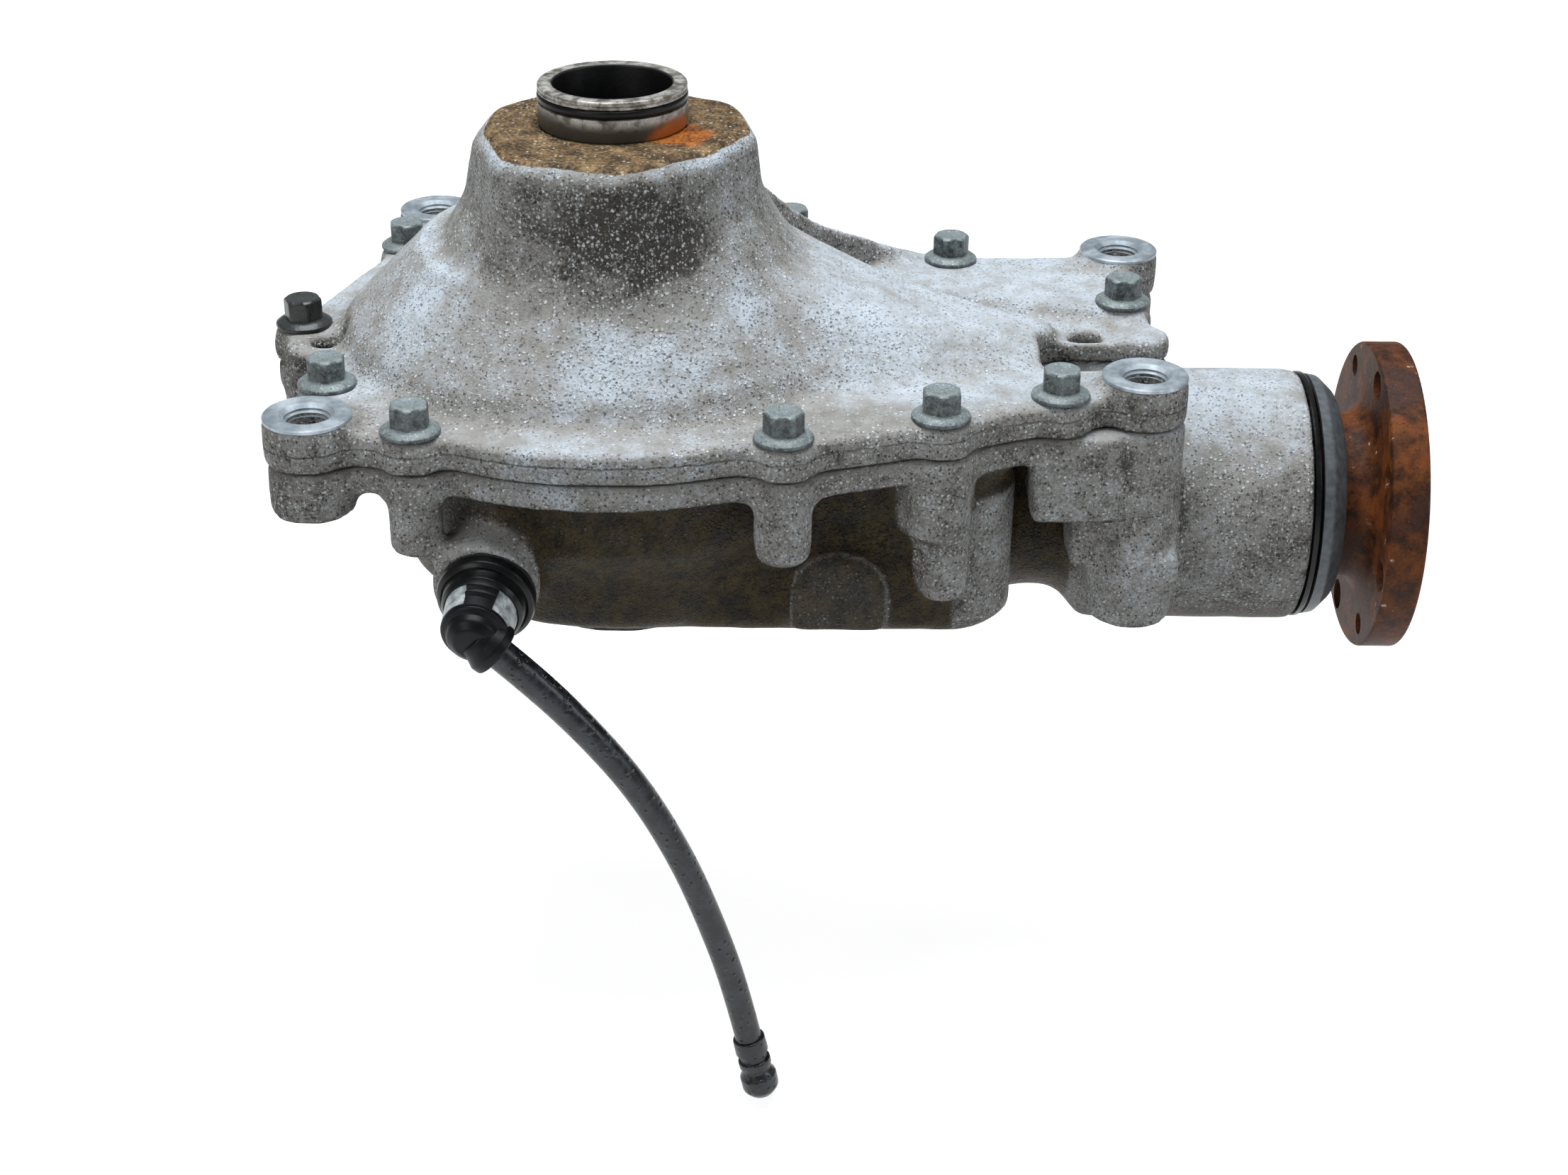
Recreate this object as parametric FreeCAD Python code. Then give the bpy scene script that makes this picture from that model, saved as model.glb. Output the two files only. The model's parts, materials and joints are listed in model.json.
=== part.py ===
import FreeCAD, Part
import math
import os
from FreeCAD import Vector

# Front differential of a four-wheel-drive car, in millimetres.
# The Z axis is the axis of the output shafts, and +X points at the input flange.
# The origin is the centre of the spigot's seat, the flat top of the cover's neck that meets the oil sump.
# Every value called a height is measured from the bolt seats, the top face of the cover's flange.

# Casing
neck_height = 80.5
cover_flange = 12.4
cover_ridge = 5.0
housing_flange = 10.4
flange_step = 0.8
wall = 5.5
bell_foot = 95.0
bell_shoulder = 67.0
bell_neck = 51.0
skirt_height = 34.0
lobe_shift = Vector(-7.0, 3.0, 0.0)
lobe_top = 36.0
roof_start = (30.0, 84.0, 84.0, 58.0)
roof_bend = (92.0, 70.0, 56.0, 21.0)
roof_middle = (122.0, 60.0, 36.0, 11.5)
roof_end = (164.0, 46.0, 24.0, 1.0)
rib_start = Vector(46.0, 33.4, 0.0)
rib_end = Vector(114.0, 86.0, 0.0)
rib_thick = 5.0
rib_top = 52.0
rib_waist = (32.0, 25.0)
valley_depth = 5.0
valley_plan = [(60.0, 0.0), (190.0, 0.0), (190.0, 22.0), (140.0, 36.0, 50.0), (110.0, 48.0, 60.0),
               (66.0, 103.0)]
neck_flare = 1.2
neck_root = 20.0
neck_waist = 50.0
neck_corner = 15.0
bowl_radius = 100.0
bowl_belly = -46.0
bowl_foot = 82.0
bowl_bottom = -90.0
lip_radius = 115.0
lip_left = -57.0
lip_right = 55.0
lip_back = -80.0
chamber_top = 42.0
seal_seat = 54.0
block_front = 75.0
block_rear = 58.0
block_right = 147.0
block_top = -27.0
block_edge = 4.0
block_corner = 22.0
pad_place = (83.0, -73.0)
pad_radius = 17.0
pad_rise = 5.0
tie_plan = [(168.0, -58.0), (200.0, -58.0), (200.0, -33.0), (168.0, -33.0)]
tie_low = -70.0
rear_tie_plan = [(146.0, 24.0), (180.0, 24.0), (180.0, 70.0), (146.0, 70.0)]
rear_tie_low = -32.8
web_reach = 6.0
web_fillet = 6.0

# Fasteners and mounting bosses
bolt_radius = 4.0
bolt_flats = 13.0
bolt_head = 8.0
bolt_washer = 10.5
washer_thick = 3.0
bolt_grip = 30.0
bolt_boss = 11.8
column_radius = 9.5
column_feet = (-44.8, -36.0, -44.0, -46.0, -44.0, -44.0, -44.0, -44.0, -41.0, -41.0, -41.0)
near_foot = -46.5
near_radius = 10.4
near_corner = 6.0
low_column = (120.3, -79.6)
low_column_radius = 8.7
low_column_foot = -70.0
far_lug = (-9.0, 22.0, -11.0, 25.0)
mount_hole = 8.0
mount_boss = 15.9
mount_chamfer = 1.5
mount_rise = 4.8
mount_foot = -31.4
mount_d_foot = -92.0
mount_ledge = -76.0
ledge_top = -60.0
ledge_start = 185.0
ledge_end = 207.5
ledge_proud = 1.5
thread_gap = 0.05
dowel_radius = 5.0
dowel_length = 14.0

# Output side
spigot_radius = 27.0
spigot_bore = 21.5
spigot_rise = 14.5
spigot_press = 13.0
spigot_seat = 26.2
groove_low = 8.0
groove_high = 11.5
groove_depth = 2.2
journal_radius = 24.0
bearing_radius = 38.0
bearing_width = 14.0
seal_width = 8.0
low_seal = 6.0
output_shaft = 15.0

# Final drive
pinion_axis = -66.0
ring_teeth = 37
pinion_teeth = 11
drive_module = 4.65
drive_face = 27.0
drive_spiral = 14.0
ring_bore = 52.0
ring_back = -22.0
ring_bolt_circle = 63.0
ring_bolt_count = 10
ring_bolt_radius = 5.0

# Differential
diff_centre = -60.0
side_teeth = 16
spider_teeth = 10
diff_module = 3.0
diff_face = 9.0
cross_radius = 8.0
case_radius = 38.0
case_ball = 32.0
side_back = 22.0
side_hub = 12.0
washer_plate = 0.8
carrier_flange = 74.0
carrier_flange_thick = 8.0
side_bore_upper = 12.5
side_bore_lower = 13.2
lock_radius = 2.0

# Input side
tube_radius = 48.3
neck_start = 130.0
tunnel_end = 148.0
tube_start = 178.0
tube_end = 259.8
neck_radius = 36.0
tunnel_wall = 5.0
pinion_journal = 17.5
pinion_shaft_radius = 15.0
pinion_bearing = 33.0
pinion_bearing_width = 18.0
tube_seal = 35.8
spline_radius = 14.5
seal_radius = 36.0
sleeve_radius = 24.0
hub_radius = 31.5
flange_radius = 59.0
flange_gap = 25.5
flange_thick = 13.9
flange_circle = 50.5
flange_hole = 6.0
flange_small_hole = 4.2
nut_flats = 36.0
nut_height = 12.0
shield_radius = 46.6
shield_thick = 2.0

# Gear tooth rules, in modules where they are shares of a tooth
pressure = math.radians(22.5)
working_depth = 1.7
root_gap = 0.19
backlash = 0.16

flange_inner = tube_end + flange_gap
flange_outer = flange_inner + flange_thick
rear_bearing = tube_end - tube_seal - pinion_bearing_width

# Clearances between pieces
press_gap = 0.02
slip_gap = 0.05
turn_gap = 0.1
roller_gap = 0.12

# Places in plan, counter-clockwise from the front left
mounts = {"a": (-100.8, -92.4), "b": (-82.7, 121.2), "c": (196.8, 79.4), "d": (191.8, -50.6)}
bolts = [(-65.0, -97.0), (62.6, -100.0), (117.3, -80.6), (160.7, -61.0), (193.2, 31.2), (129.2, 76.8),
         (65.0, 108.0), (-12.0, 118.0), (-90.7, 86.4), (-118.0, 1.0), (-100.0, -56.4)]
left_lug = (-107.0, -14.0)
lug_hole = 5.5
lug_boss = 16.0
lug_face = 8.5
finger_tip = (199.0, 9.0)
finger_hole_x = 177.0
finger_hole = 6.5
finger_boss = 10.5
finger_drop = 3.0
finger_flat = 163.0
bay_start = 157.0
bay_end = 260.0
bay_corner = 9.0
dowels = [(-40.0, 112.0), (92.0, -84.0)]

# Breather, on the lower front of the bowl
vent_centre = Vector(-42.0, -105.0, -58.0 - neck_height)
vent_axis = Vector(-0.10, -0.98, -0.15).normalize()
vent_ring = 17.5
vent_ring_thick = 4.0
vent_sleeve = 12.8
vent_wall = 1.4
vent_sleeve_out = 9.0
vent_cap = 11.0
hose_radius = 5.0
hose_route = [(-36.0, -67.3), (-22.9, -79.6), (-5.0, -99.5), (12.5, -123.0), (27.0, -151.0), (37.5, -179.0),
              (46.5, -208.0), (52.0, -234.0)]
hose_plane = -128.0

joint_height = -cover_flange
flange_low = joint_height - housing_flange


def row(height):
    """Z of a height above the bolt seats."""
    return height - neck_height


def rounded(corners, place):
    """Closed wire through corners (u, v) or (u, v, radius); a radius rounds its corner with an arc."""
    points = [Vector(c[0], c[1], 0) for c in corners]
    radii = [c[2] if len(c) > 2 else 0.0 for c in corners]
    stops = []
    for i, point in enumerate(points):
        back = points[i - 1] - point
        ahead = points[(i + 1) % len(points)] - point
        half = back.getAngle(ahead) / 2
        reach = min(radii[i] / math.tan(half), 0.49 * back.Length, 0.49 * ahead.Length)
        back.normalize()
        ahead.normalize()
        if reach < 1e-6:
            stops.append((point, None, point))
            continue
        middle = (back + ahead).normalize()
        radius = reach * math.tan(half)
        crown = point + middle * (radius / math.sin(half) - radius)
        stops.append((point + back * reach, crown, point + ahead * reach))
    edges = []
    for i, (start, crown, end) in enumerate(stops):
        if crown is not None:
            edges.append(Part.Arc(place(start), place(crown), place(end)).toShape())
        following = stops[(i + 1) % len(stops)][0]
        if end.distanceToPoint(following) > 1e-6:
            edges.append(Part.LineSegment(place(end), place(following)).toShape())
    return Part.Wire(edges)


def plan(corners, height):
    """Wire of a plan outline at a height."""
    return rounded(corners, lambda p: Vector(p.x, p.y, row(height)))


def slab(corners, low, high):
    """Plate with a plan outline, between two heights."""
    return Part.Face(plan(corners, low)).extrude(Vector(0, 0, high - low))


def disc(radius, low, high, centre=(0.0, 0.0)):
    """Upright cylinder between two heights."""
    return Part.makeCylinder(radius, high - low, Vector(centre[0], centre[1], row(low)))


def turned(corners):
    """Solid of revolution about the output axis, from corners (radius, height)."""
    face = Part.Face(rounded(corners, lambda p: Vector(p.x, 0, row(p.y))))
    return face.revolve(Vector(0, 0, 0), Vector(0, 0, 1), 360)


def turned_x(corners, height=pinion_axis):
    """Solid of revolution about the pinion's axis, from corners (x, radius)."""
    face = Part.Face(rounded(corners, lambda p: Vector(p.x, 0, row(height) + p.y)))
    return face.revolve(Vector(0, 0, row(height)), Vector(1, 0, 0), 360)


def rod(radius, start, end, height=pinion_axis, y=0.0):
    """Cylinder along X between two places."""
    return Part.makeCylinder(radius, end - start, Vector(start, y, row(height)), Vector(1, 0, 0))


def hexagon(flats, low, high, centre):
    """Upright hexagonal prism, by its width across flats."""
    corner = flats / math.sqrt(3)
    corners = [(centre[0] + corner * math.cos(math.radians(60 * i)),
                centre[1] + corner * math.sin(math.radians(60 * i))) for i in range(6)]
    return slab(corners, low, high)


def fused(shapes):
    """One solid out of several that touch."""
    return shapes[0].multiFuse(shapes[1:]).removeSplitter()


def group(shapes):
    """Separate solids that share a node."""
    return Part.makeCompound(shapes)


def tangent_arc(start_side, end_side, hollow, radius):
    """Arc of a hollow fillet between the points where it meets the two shapes beside it."""
    toward = ((start_side - hollow) + (end_side - hollow)).normalize()
    return Part.Arc(start_side, hollow + toward * radius, end_side).toShape()


def bridge(start, end, r0, r1, web, fillet):
    """Edges from one boss to the next: fillet, straight web, fillet, or one fillet where they are close."""
    span = (end - start).Length
    along = (end - start) * (1 / span)
    out = Vector(along.y, -along.x, 0)
    legs = [math.sqrt((r + fillet) ** 2 - (web + fillet) ** 2) for r in (r0, r1)]
    if sum(legs) > 0.98 * span:
        across = (span ** 2 + (r0 + fillet) ** 2 - (r1 + fillet) ** 2) / (2 * span)
        hollow = start + along * across + out * math.sqrt((r0 + fillet) ** 2 - across ** 2)
        ends = [c + (hollow - c) * (r / (r + fillet)) for c, r in ((start, r0), (end, r1))]
        return [tangent_arc(ends[0], ends[1], hollow, fillet)], ends[0], ends[1]
    hollows = [start + along * legs[0] + out * (web + fillet), end - along * legs[1] + out * (web + fillet)]
    feet = [hollow - out * fillet for hollow in hollows]
    ends = [c + (h - c) * (r / (r + fillet)) for c, h, r in ((start, hollows[0], r0), (end, hollows[1], r1))]
    edges = [tangent_arc(ends[0], feet[0], hollows[0], fillet),
             Part.LineSegment(feet[0], feet[1]).toShape(),
             tangent_arc(feet[1], ends[1], hollows[1], fillet)]
    return edges, ends[0], ends[1]


def waisted(stations, web, fillet):
    """Plan outline round bosses (x, y, radius), counter-clockwise, joined by bridges."""
    centres = [Vector(x, y, 0) for x, y, radius in stations]
    radii = [radius for x, y, radius in stations]
    count = len(stations)
    bridges = [bridge(centres[i], centres[(i + 1) % count], radii[i], radii[(i + 1) % count], web, fillet)
               for i in range(count)]
    edges = []
    for i in range(count):
        span_edges, start, end = bridges[i]
        edges += span_edges
        centre = centres[(i + 1) % count]
        following = bridges[(i + 1) % count][1]
        first, last = end - centre, following - centre
        sweep = math.atan2(first.cross(last).z, first.dot(last)) % (2 * math.pi)
        half = FreeCAD.Rotation(Vector(0, 0, 1), math.degrees(sweep) / 2)
        edges.append(Part.Arc(end, centre + half.multVec(first), following).toShape())
    return Part.Wire(edges)


def bay_tool(inset):
    """Cutter for the open bay between the finger and the front right boss."""
    d_edge = mounts["d"][1] + mount_boss + 2 * inset
    finger_edge = finger_tip[1] - finger_boss + inset
    corners = [(bay_start, d_edge, bay_corner), (bay_end, d_edge), (bay_end, finger_edge),
               (bay_start, finger_edge, bay_corner)]
    return slab(corners, flange_low - 1, 10.0)


def flange_plate(inset, low, high):
    """The bolting flange shared by both castings, smaller by the inset."""
    stations = [mounts["a"] + (mount_boss - inset,)]
    stations += [place + (bolt_boss - inset,) for place in bolts[0:4]]
    stations += [mounts["d"] + (mount_boss - inset,), finger_tip + (finger_boss - inset,)]
    stations += [bolts[4] + (bolt_boss - inset,), mounts["c"] + (mount_boss - inset,)]
    stations += [place + (bolt_boss - inset,) for place in bolts[5:8]]
    stations += [mounts["b"] + (mount_boss - inset,), bolts[8] + (bolt_boss - inset,)]
    stations += [bolts[9] + (bolt_boss - inset,), left_lug + (lug_boss - inset,)]
    stations += [bolts[10] + (bolt_boss - inset,)]
    wire = waisted(stations, web_reach - inset, web_fillet)
    wire.translate(Vector(0, 0, row(low)))
    plate = Part.Face(wire).extrude(Vector(0, 0, high - low))
    return plate.cut(bay_tool(inset))


def flange_lip(inset, low, high):
    """The rounded front edge of the flange, between the first two bolts."""
    front = -lip_radius - 1
    corners = [(lip_left, front), (lip_right, front), (lip_right, lip_back), (lip_left, lip_back)]
    return disc(lip_radius - inset, low, high).common(slab(corners, low, high))


def hole_drill(radius, places, low, high):
    """Drills for upright holes."""
    return [disc(radius, low, high, place) for place in places]


class Bevel:
    """One gear of a bevel pair, with its apex at the origin and its axis along +Z."""

    def __init__(self, teeth, mate, module, face, shift, turn, phase):
        self.teeth = teeth
        self.angle = math.atan2(teeth, mate)
        self.radius = module * teeth / 2
        self.cone = self.radius / math.sin(self.angle)
        self.toe = 1 - face / self.cone
        self.top = (working_depth / 2 + shift) * module
        self.root = (working_depth / 2 - shift + root_gap) * module
        self.thick = (math.pi / 2 + 2 * shift * math.tan(pressure)) * module - backlash
        self.turn = turn
        self.phase = phase

    def at(self, share, height):
        """Radius and distance from the apex, at a share of the cone and a height above the pitch cone."""
        radial = share * (self.radius + height * math.cos(self.angle))
        axial = share * (self.cone * math.cos(self.angle) - height * math.sin(self.angle))
        return radial, axial

    def half_space(self, height):
        """Half the angle of a tooth space: an involute on the developed back cone."""
        virtual = self.radius / math.cos(self.angle)
        base = virtual * math.cos(pressure)
        opening = math.acos(base / max(virtual + height, base))
        half_tooth = self.thick / 2 / virtual + math.tan(pressure) - pressure - math.tan(opening) + opening
        return math.pi / self.teeth - half_tooth / math.cos(self.angle)

    def cutter(self, index):
        """Closed shape of one tooth space, run out past both ends of the face."""
        heights = [self.top * 1.5, self.top, self.top * 0.4, -self.root * 0.4, -self.root]
        sides = [(h, self.half_space(min(h, self.top))) for h in heights]
        section = sides + [(h, -a) for h, a in reversed(sides)]
        spans = 3 if self.turn else 1
        heel, toe = 1.05, self.toe * 0.88
        loops = []
        for k in range(spans + 1):
            share = heel + (toe - heel) * k / spans
            twist = self.turn * (1 - share) / (1 - self.toe)
            centre = self.phase + 360.0 * index / self.teeth + twist
            loop = []
            for height, side in section:
                radial, axial = self.at(share, height)
                angle = math.radians(centre) + side
                loop.append(Vector(radial * math.cos(angle), radial * math.sin(angle), axial))
            loops.append(loop)
        faces = []
        size = len(section)
        for near, far in zip(loops, loops[1:]):
            for j in range(size):
                a, b, c, d = near[j], near[(j + 1) % size], far[(j + 1) % size], far[j]
                faces.append(Part.Face(Part.makePolygon([a, b, c, a])))
                faces.append(Part.Face(Part.makePolygon([a, c, d, a])))
        for loop in (loops[0], loops[-1]):
            middle = loop[0] * 0
            for point in loop:
                middle = middle + point * (1.0 / size)
            for j in range(size):
                faces.append(Part.Face(Part.makePolygon([loop[j], loop[(j + 1) % size], middle, loop[j]])))
        solid = Part.Solid(Part.Shell(faces))
        solid.fix(1e-6, 1e-6, 1e-6)
        return solid

    def blank(self, rest):
        """Turned blank: the toe and heel of the tip cone, then the rest of the profile."""
        corners = [self.at(self.toe, self.top), self.at(1.0, self.top)] + rest
        face = Part.Face(Part.makePolygon([Vector(r, 0, z) for r, z in corners + corners[:1]]))
        return face.revolve(Vector(0, 0, 0), Vector(0, 0, 1), 360)

    def toothed(self, blank):
        """The blank with every tooth space cut."""
        return blank.cut(group([self.cutter(i) for i in range(self.teeth)]))


def bearing(radius_in, radius_out, width):
    """Taper roller bearing about +Z with its small end up: cup, rollers in a ring, and cone."""
    middle = (radius_in + radius_out) / 2
    roller = (radius_out - radius_in) * 0.21
    lean = roller * 0.25
    cup = [(middle + roller + lean + roller_gap, 0), (radius_out - press_gap, 0),
           (radius_out - press_gap, width), (middle + roller - lean + roller_gap, width)]
    cone = [(radius_in + press_gap, 0), (middle - roller + lean - roller_gap, 0),
            (middle - roller - lean - roller_gap, width), (radius_in + press_gap, width)]
    solids = []
    for corners in (cup, cone):
        face = Part.Face(Part.makePolygon([Vector(r, 0, z) for r, z in corners + corners[:1]]))
        solids.append(face.revolve(Vector(0, 0, 0), Vector(0, 0, 1), 360))
    end_gap = width * 0.1
    tilt = math.degrees(math.atan(2 * lean / width))
    one = Part.makeCone(roller - roller_gap, roller * 0.9 - roller_gap, width - 2 * end_gap)
    one.translate(Vector(0, 0, end_gap - width / 2))
    one.rotate(Vector(0, 0, 0), Vector(0, 1, 0), -tilt)
    one.translate(Vector(middle, 0, width / 2))
    count = int(math.pi * middle / roller * 0.78)
    rollers = []
    for i in range(count):
        copy = one.copy()
        copy.rotate(Vector(0, 0, 0), Vector(0, 0, 1), 360.0 * i / count)
        rollers.append(copy)
    return solids[0], group(rollers), solids[1]


def seal(radius_in, radius_out, width):
    """Lip seal about +Z: a ring of C section with a sprung lip."""
    case = 2.2
    lip = radius_in + turn_gap
    corners = [(radius_out - press_gap, 0), (radius_out - press_gap, width), (radius_out - case, width),
               (radius_out - case, case), (lip + 3.0, case), (lip + 2.4, width * 0.8), (lip, width * 0.7),
               (lip + 1.2, 0)]
    face = Part.Face(Part.makePolygon([Vector(r, 0, z) for r, z in corners + corners[:1]]))
    return face.revolve(Vector(0, 0, 0), Vector(0, 0, 1), 360)


def set_upright(shape, height, flip=False):
    """Place a shape made about +Z on the output axis, turned over if asked."""
    copy = shape.copy()
    if flip:
        copy.rotate(Vector(0, 0, 0), Vector(1, 0, 0), 180)
    copy.translate(Vector(0, 0, row(height)))
    return copy


def set_along_x(shape, x, flip=False):
    """Place a shape made about +Z on the pinion's axis."""
    copy = shape.copy()
    copy.rotate(Vector(0, 0, 0), Vector(0, 1, 0), -90 if flip else 90)
    copy.translate(Vector(x, 0, row(pinion_axis)))
    return copy


# Gears
ring = Bevel(ring_teeth, pinion_teeth, drive_module, drive_face, -0.35, drive_spiral, 0.0)
pinion = Bevel(pinion_teeth, ring_teeth, drive_module, drive_face, 0.35,
               -drive_spiral * ring_teeth / pinion_teeth, 180.0 + 180.0 / pinion_teeth)
side = Bevel(side_teeth, spider_teeth, diff_module, diff_face, -0.2, 0.0, 90.0)
spider = Bevel(spider_teeth, side_teeth, diff_module, diff_face, 0.2, 0.0, 90.0 + 180.0 / spider_teeth)


def make_ring_gear():
    toe_axial = ring.at(ring.toe, ring.top)[1]
    heel_radius, heel_axial = ring.at(1.0, ring.top)
    back = ring_back - pinion_axis
    rim = heel_radius + 1.0
    blank = ring.blank([(rim, heel_axial + 2.0), (rim, back), (ring_bore, back),
                        (ring_bore, toe_axial + 3.0)])
    gear = set_upright(ring.toothed(blank), pinion_axis)
    drills = hole_drill(ring_bolt_radius + thread_gap, ring_bolt_places(), ring_back - 15.0, ring_back + 1)
    return gear.cut(group(drills))


def ring_bolt_places():
    """Centres of the bolts that hold the ring gear."""
    step = 2 * math.pi / ring_bolt_count
    return [(ring_bolt_circle * math.cos(step * (i + 0.5)), ring_bolt_circle * math.sin(step * (i + 0.5)))
            for i in range(ring_bolt_count)]


def make_ring_bolts():
    top = ring_back + carrier_flange_thick
    bolts_made = []
    for place in ring_bolt_places():
        shank = disc(ring_bolt_radius, ring_back - 14.0, top, place)
        head = hexagon(15.0, top, top + 6.0, place)
        bolts_made.append(fused([shank, head]))
    return group(bolts_made)


case_half = side_back + 2 * turn_gap + washer_plate
case_low = diff_centre - case_half - 5.0
case_high = diff_centre + case_half + 5.0
upper_bearing_low = ring_back + carrier_flange_thick + 2.0
lower_bearing_high = case_low - 1.0
journal_top = upper_bearing_low + bearing_width + 1.0
journal_low = lower_bearing_high - bearing_width
hub_bore = 16.6
hub_clear = hub_bore - turn_gap


def make_carrier():
    flange_top = ring_back + carrier_flange_thick
    body = turned([(output_shaft + 1.0, journal_low), (journal_radius, journal_low),
                   (journal_radius, lower_bearing_high), (journal_radius + 3.0, lower_bearing_high),
                   (case_radius, case_low + 6.0, 6.0),
                   (case_radius, case_high - 3.0), (ring_bore - slip_gap, case_high),
                   (ring_bore - slip_gap, ring_back), (carrier_flange, ring_back),
                   (carrier_flange, flange_top), (journal_radius + 4.0, flange_top),
                   (journal_radius + 3.0, upper_bearing_low), (journal_radius, upper_bearing_low),
                   (journal_radius, journal_top), (output_shaft + 1.0, journal_top)])
    ball = Part.makeSphere(case_ball, Vector(0, 0, row(diff_centre)))
    cavity = ball.common(disc(case_ball + 1, diff_centre - case_half, diff_centre + case_half))
    hub_length = 14.0
    bores = disc(hub_bore, diff_centre - case_half - hub_length, diff_centre + case_half + hub_length)
    window = Part.makeBox(2 * case_radius + 20, 40.0, 34.0,
                          Vector(-case_radius - 10, -20.0, row(diff_centre) - 17.0))
    cross = Part.makeCylinder(cross_radius + slip_gap, 2 * case_radius + 4,
                              Vector(0, -case_radius - 2, row(diff_centre)), Vector(0, 1, 0))
    lock = disc(lock_radius + slip_gap, diff_centre - 20.0, diff_centre + 20.0, (0, case_radius - 3.2))
    holes = hole_drill(ring_bolt_radius + 0.3, ring_bolt_places(), ring_back - 1, flange_top + 1)
    return body.cut(cavity).cut(bores).cut(window).cut(cross).cut(lock).cut(group(holes))


def make_cross_pin():
    half = case_radius - 0.5
    pin = Part.makeCylinder(cross_radius, 2 * half, Vector(0, -half, row(diff_centre)), Vector(0, 1, 0))
    lock = disc(lock_radius + slip_gap, diff_centre - 20.0, diff_centre + 20.0, (0, case_radius - 3.2))
    return pin.cut(lock)


def make_lock_pin():
    return disc(lock_radius, diff_centre - 19.5, diff_centre + 19.5, (0, case_radius - 3.2))


def make_side_gear(upper):
    toe_axial = side.at(side.toe, side.top)[1]
    heel = side.at(1.0, -side.root - 1.0)
    bore = side_bore_upper if upper else side_bore_lower
    blank = side.blank([heel, (heel[0], side_back), (hub_clear, side_back), (hub_clear, side_back + side_hub),
                        (bore, side_back + side_hub), (bore, toe_axial + 1.0)])
    return set_upright(side.toothed(blank), diff_centre, flip=not upper)


def make_side_washers():
    plates = []
    for sign in (1, -1):
        start = side_back + turn_gap
        low = min(sign * start, sign * (start + washer_plate))
        plate = disc(case_ball - 11.0, diff_centre + low, diff_centre + low + washer_plate)
        plates.append(plate.cut(disc(hub_bore + 0.4, diff_centre - case_ball, diff_centre + case_ball)))
    return group(plates)


def spider_way(sign):
    """Place a shape made about +Z on the cross pin's axis, towards +Y or -Y."""
    def place(shape):
        copy = shape.copy()
        copy.rotate(Vector(0, 0, 0), Vector(1, 0, 0), -90 * sign)
        copy.translate(Vector(0, 0, row(diff_centre)))
        return copy
    return place


def make_spider(sign):
    heel = spider.at(1.0, -spider.root - 1.0)
    toe_axial = spider.at(spider.toe, spider.top)[1]
    ball = case_ball - washer_plate - 2 * turn_gap
    bore = cross_radius + turn_gap / 2
    blank = spider.blank([heel, (heel[0], case_ball), (bore, case_ball), (bore, toe_axial)])
    gear = spider.toothed(blank.common(Part.makeSphere(ball)))
    return spider_way(sign)(gear)


def make_spider_washers():
    outer = case_ball - turn_gap
    shell = Part.makeSphere(outer).cut(Part.makeSphere(outer - washer_plate))
    hole = Part.makeCylinder(cross_radius + 0.3, case_ball + 1)
    cap = shell.common(Part.makeCylinder(15.0, case_ball + 1)).cut(hole)
    return group([spider_way(1)(cap), spider_way(-1)(cap)])


# Input shaft, from the gear head at its left end
head_back = pinion.cone * math.cos(pinion.angle) + 4.0
head_bearing_end = head_back + pinion_bearing_width
rear_bearing_end = rear_bearing + pinion_bearing_width
nut_x = flange_inner - 2.0


def make_pinion():
    toe_axial = pinion.at(pinion.toe, pinion.top)[1]
    heel_radius, heel_axial = pinion.at(1.0, pinion.top)
    end = flange_outer - 2.5
    blank = pinion.blank([(heel_radius - 1.0, heel_axial + 2.0), (pinion_journal + 4.0, head_back),
                          (pinion_journal, head_back), (pinion_journal, head_bearing_end),
                          (pinion_shaft_radius, head_bearing_end), (pinion_shaft_radius, rear_bearing_end),
                          (spline_radius, rear_bearing_end), (spline_radius, nut_x),
                          (spline_radius - 2.5, nut_x), (spline_radius - 2.5, end), (0, end), (0, toe_axial)])
    return set_along_x(pinion.toothed(blank), 0)


def make_input_flange():
    body = turned_x([(rear_bearing_end, spline_radius + slip_gap), (rear_bearing_end, sleeve_radius, 1.0),
                     (tube_end + 2.4, sleeve_radius), (tube_end + 2.4, hub_radius, 1.0),
                     (flange_inner, hub_radius, 7.0), (flange_inner, flange_radius, 1.2),
                     (flange_outer, flange_radius, 1.2), (flange_outer, nut_flats * 0.72),
                     (nut_x, nut_flats * 0.68), (nut_x, spline_radius + slip_gap)])
    drills = []
    for i in range(4):
        for offset, radius in ((12.0, flange_hole), (57.0, flange_small_hole)):
            angle = math.radians(offset + 90 * i)
            drills.append(rod(radius, flange_inner - 2, flange_outer + 2,
                              pinion_axis + flange_circle * math.sin(angle), flange_circle * math.cos(angle)))
    return body.cut(group(drills))


def make_pinion_nut():
    corner = nut_flats / math.sqrt(3)
    points = [Vector(nut_x, corner * math.cos(math.radians(60 * i)), row(pinion_axis)
                     + corner * math.sin(math.radians(60 * i))) for i in range(7)]
    prism = Part.Face(Part.makePolygon(points)).extrude(Vector(nut_height, 0, 0))
    return prism.cut(rod(spline_radius - 2.5 + thread_gap, nut_x - 1, flange_outer + 1))


def make_dust_shield():
    start = tube_end + 3.4
    outer = [(start, shield_radius), (start + 4.0, shield_radius - 0.6, 3.0),
             (start + 9.5, shield_radius - 6.0, 4.0), (start + 11.0, hub_radius + slip_gap)]
    inner = [(start + 11.0 - shield_thick, hub_radius + slip_gap),
             (start + 9.5 - shield_thick, shield_radius - 7.0, 3.0),
             (start + 4.0 - shield_thick, shield_radius - 0.6 - shield_thick, 2.0),
             (start, shield_radius - shield_thick)]
    return turned_x(outer + inner)


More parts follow.
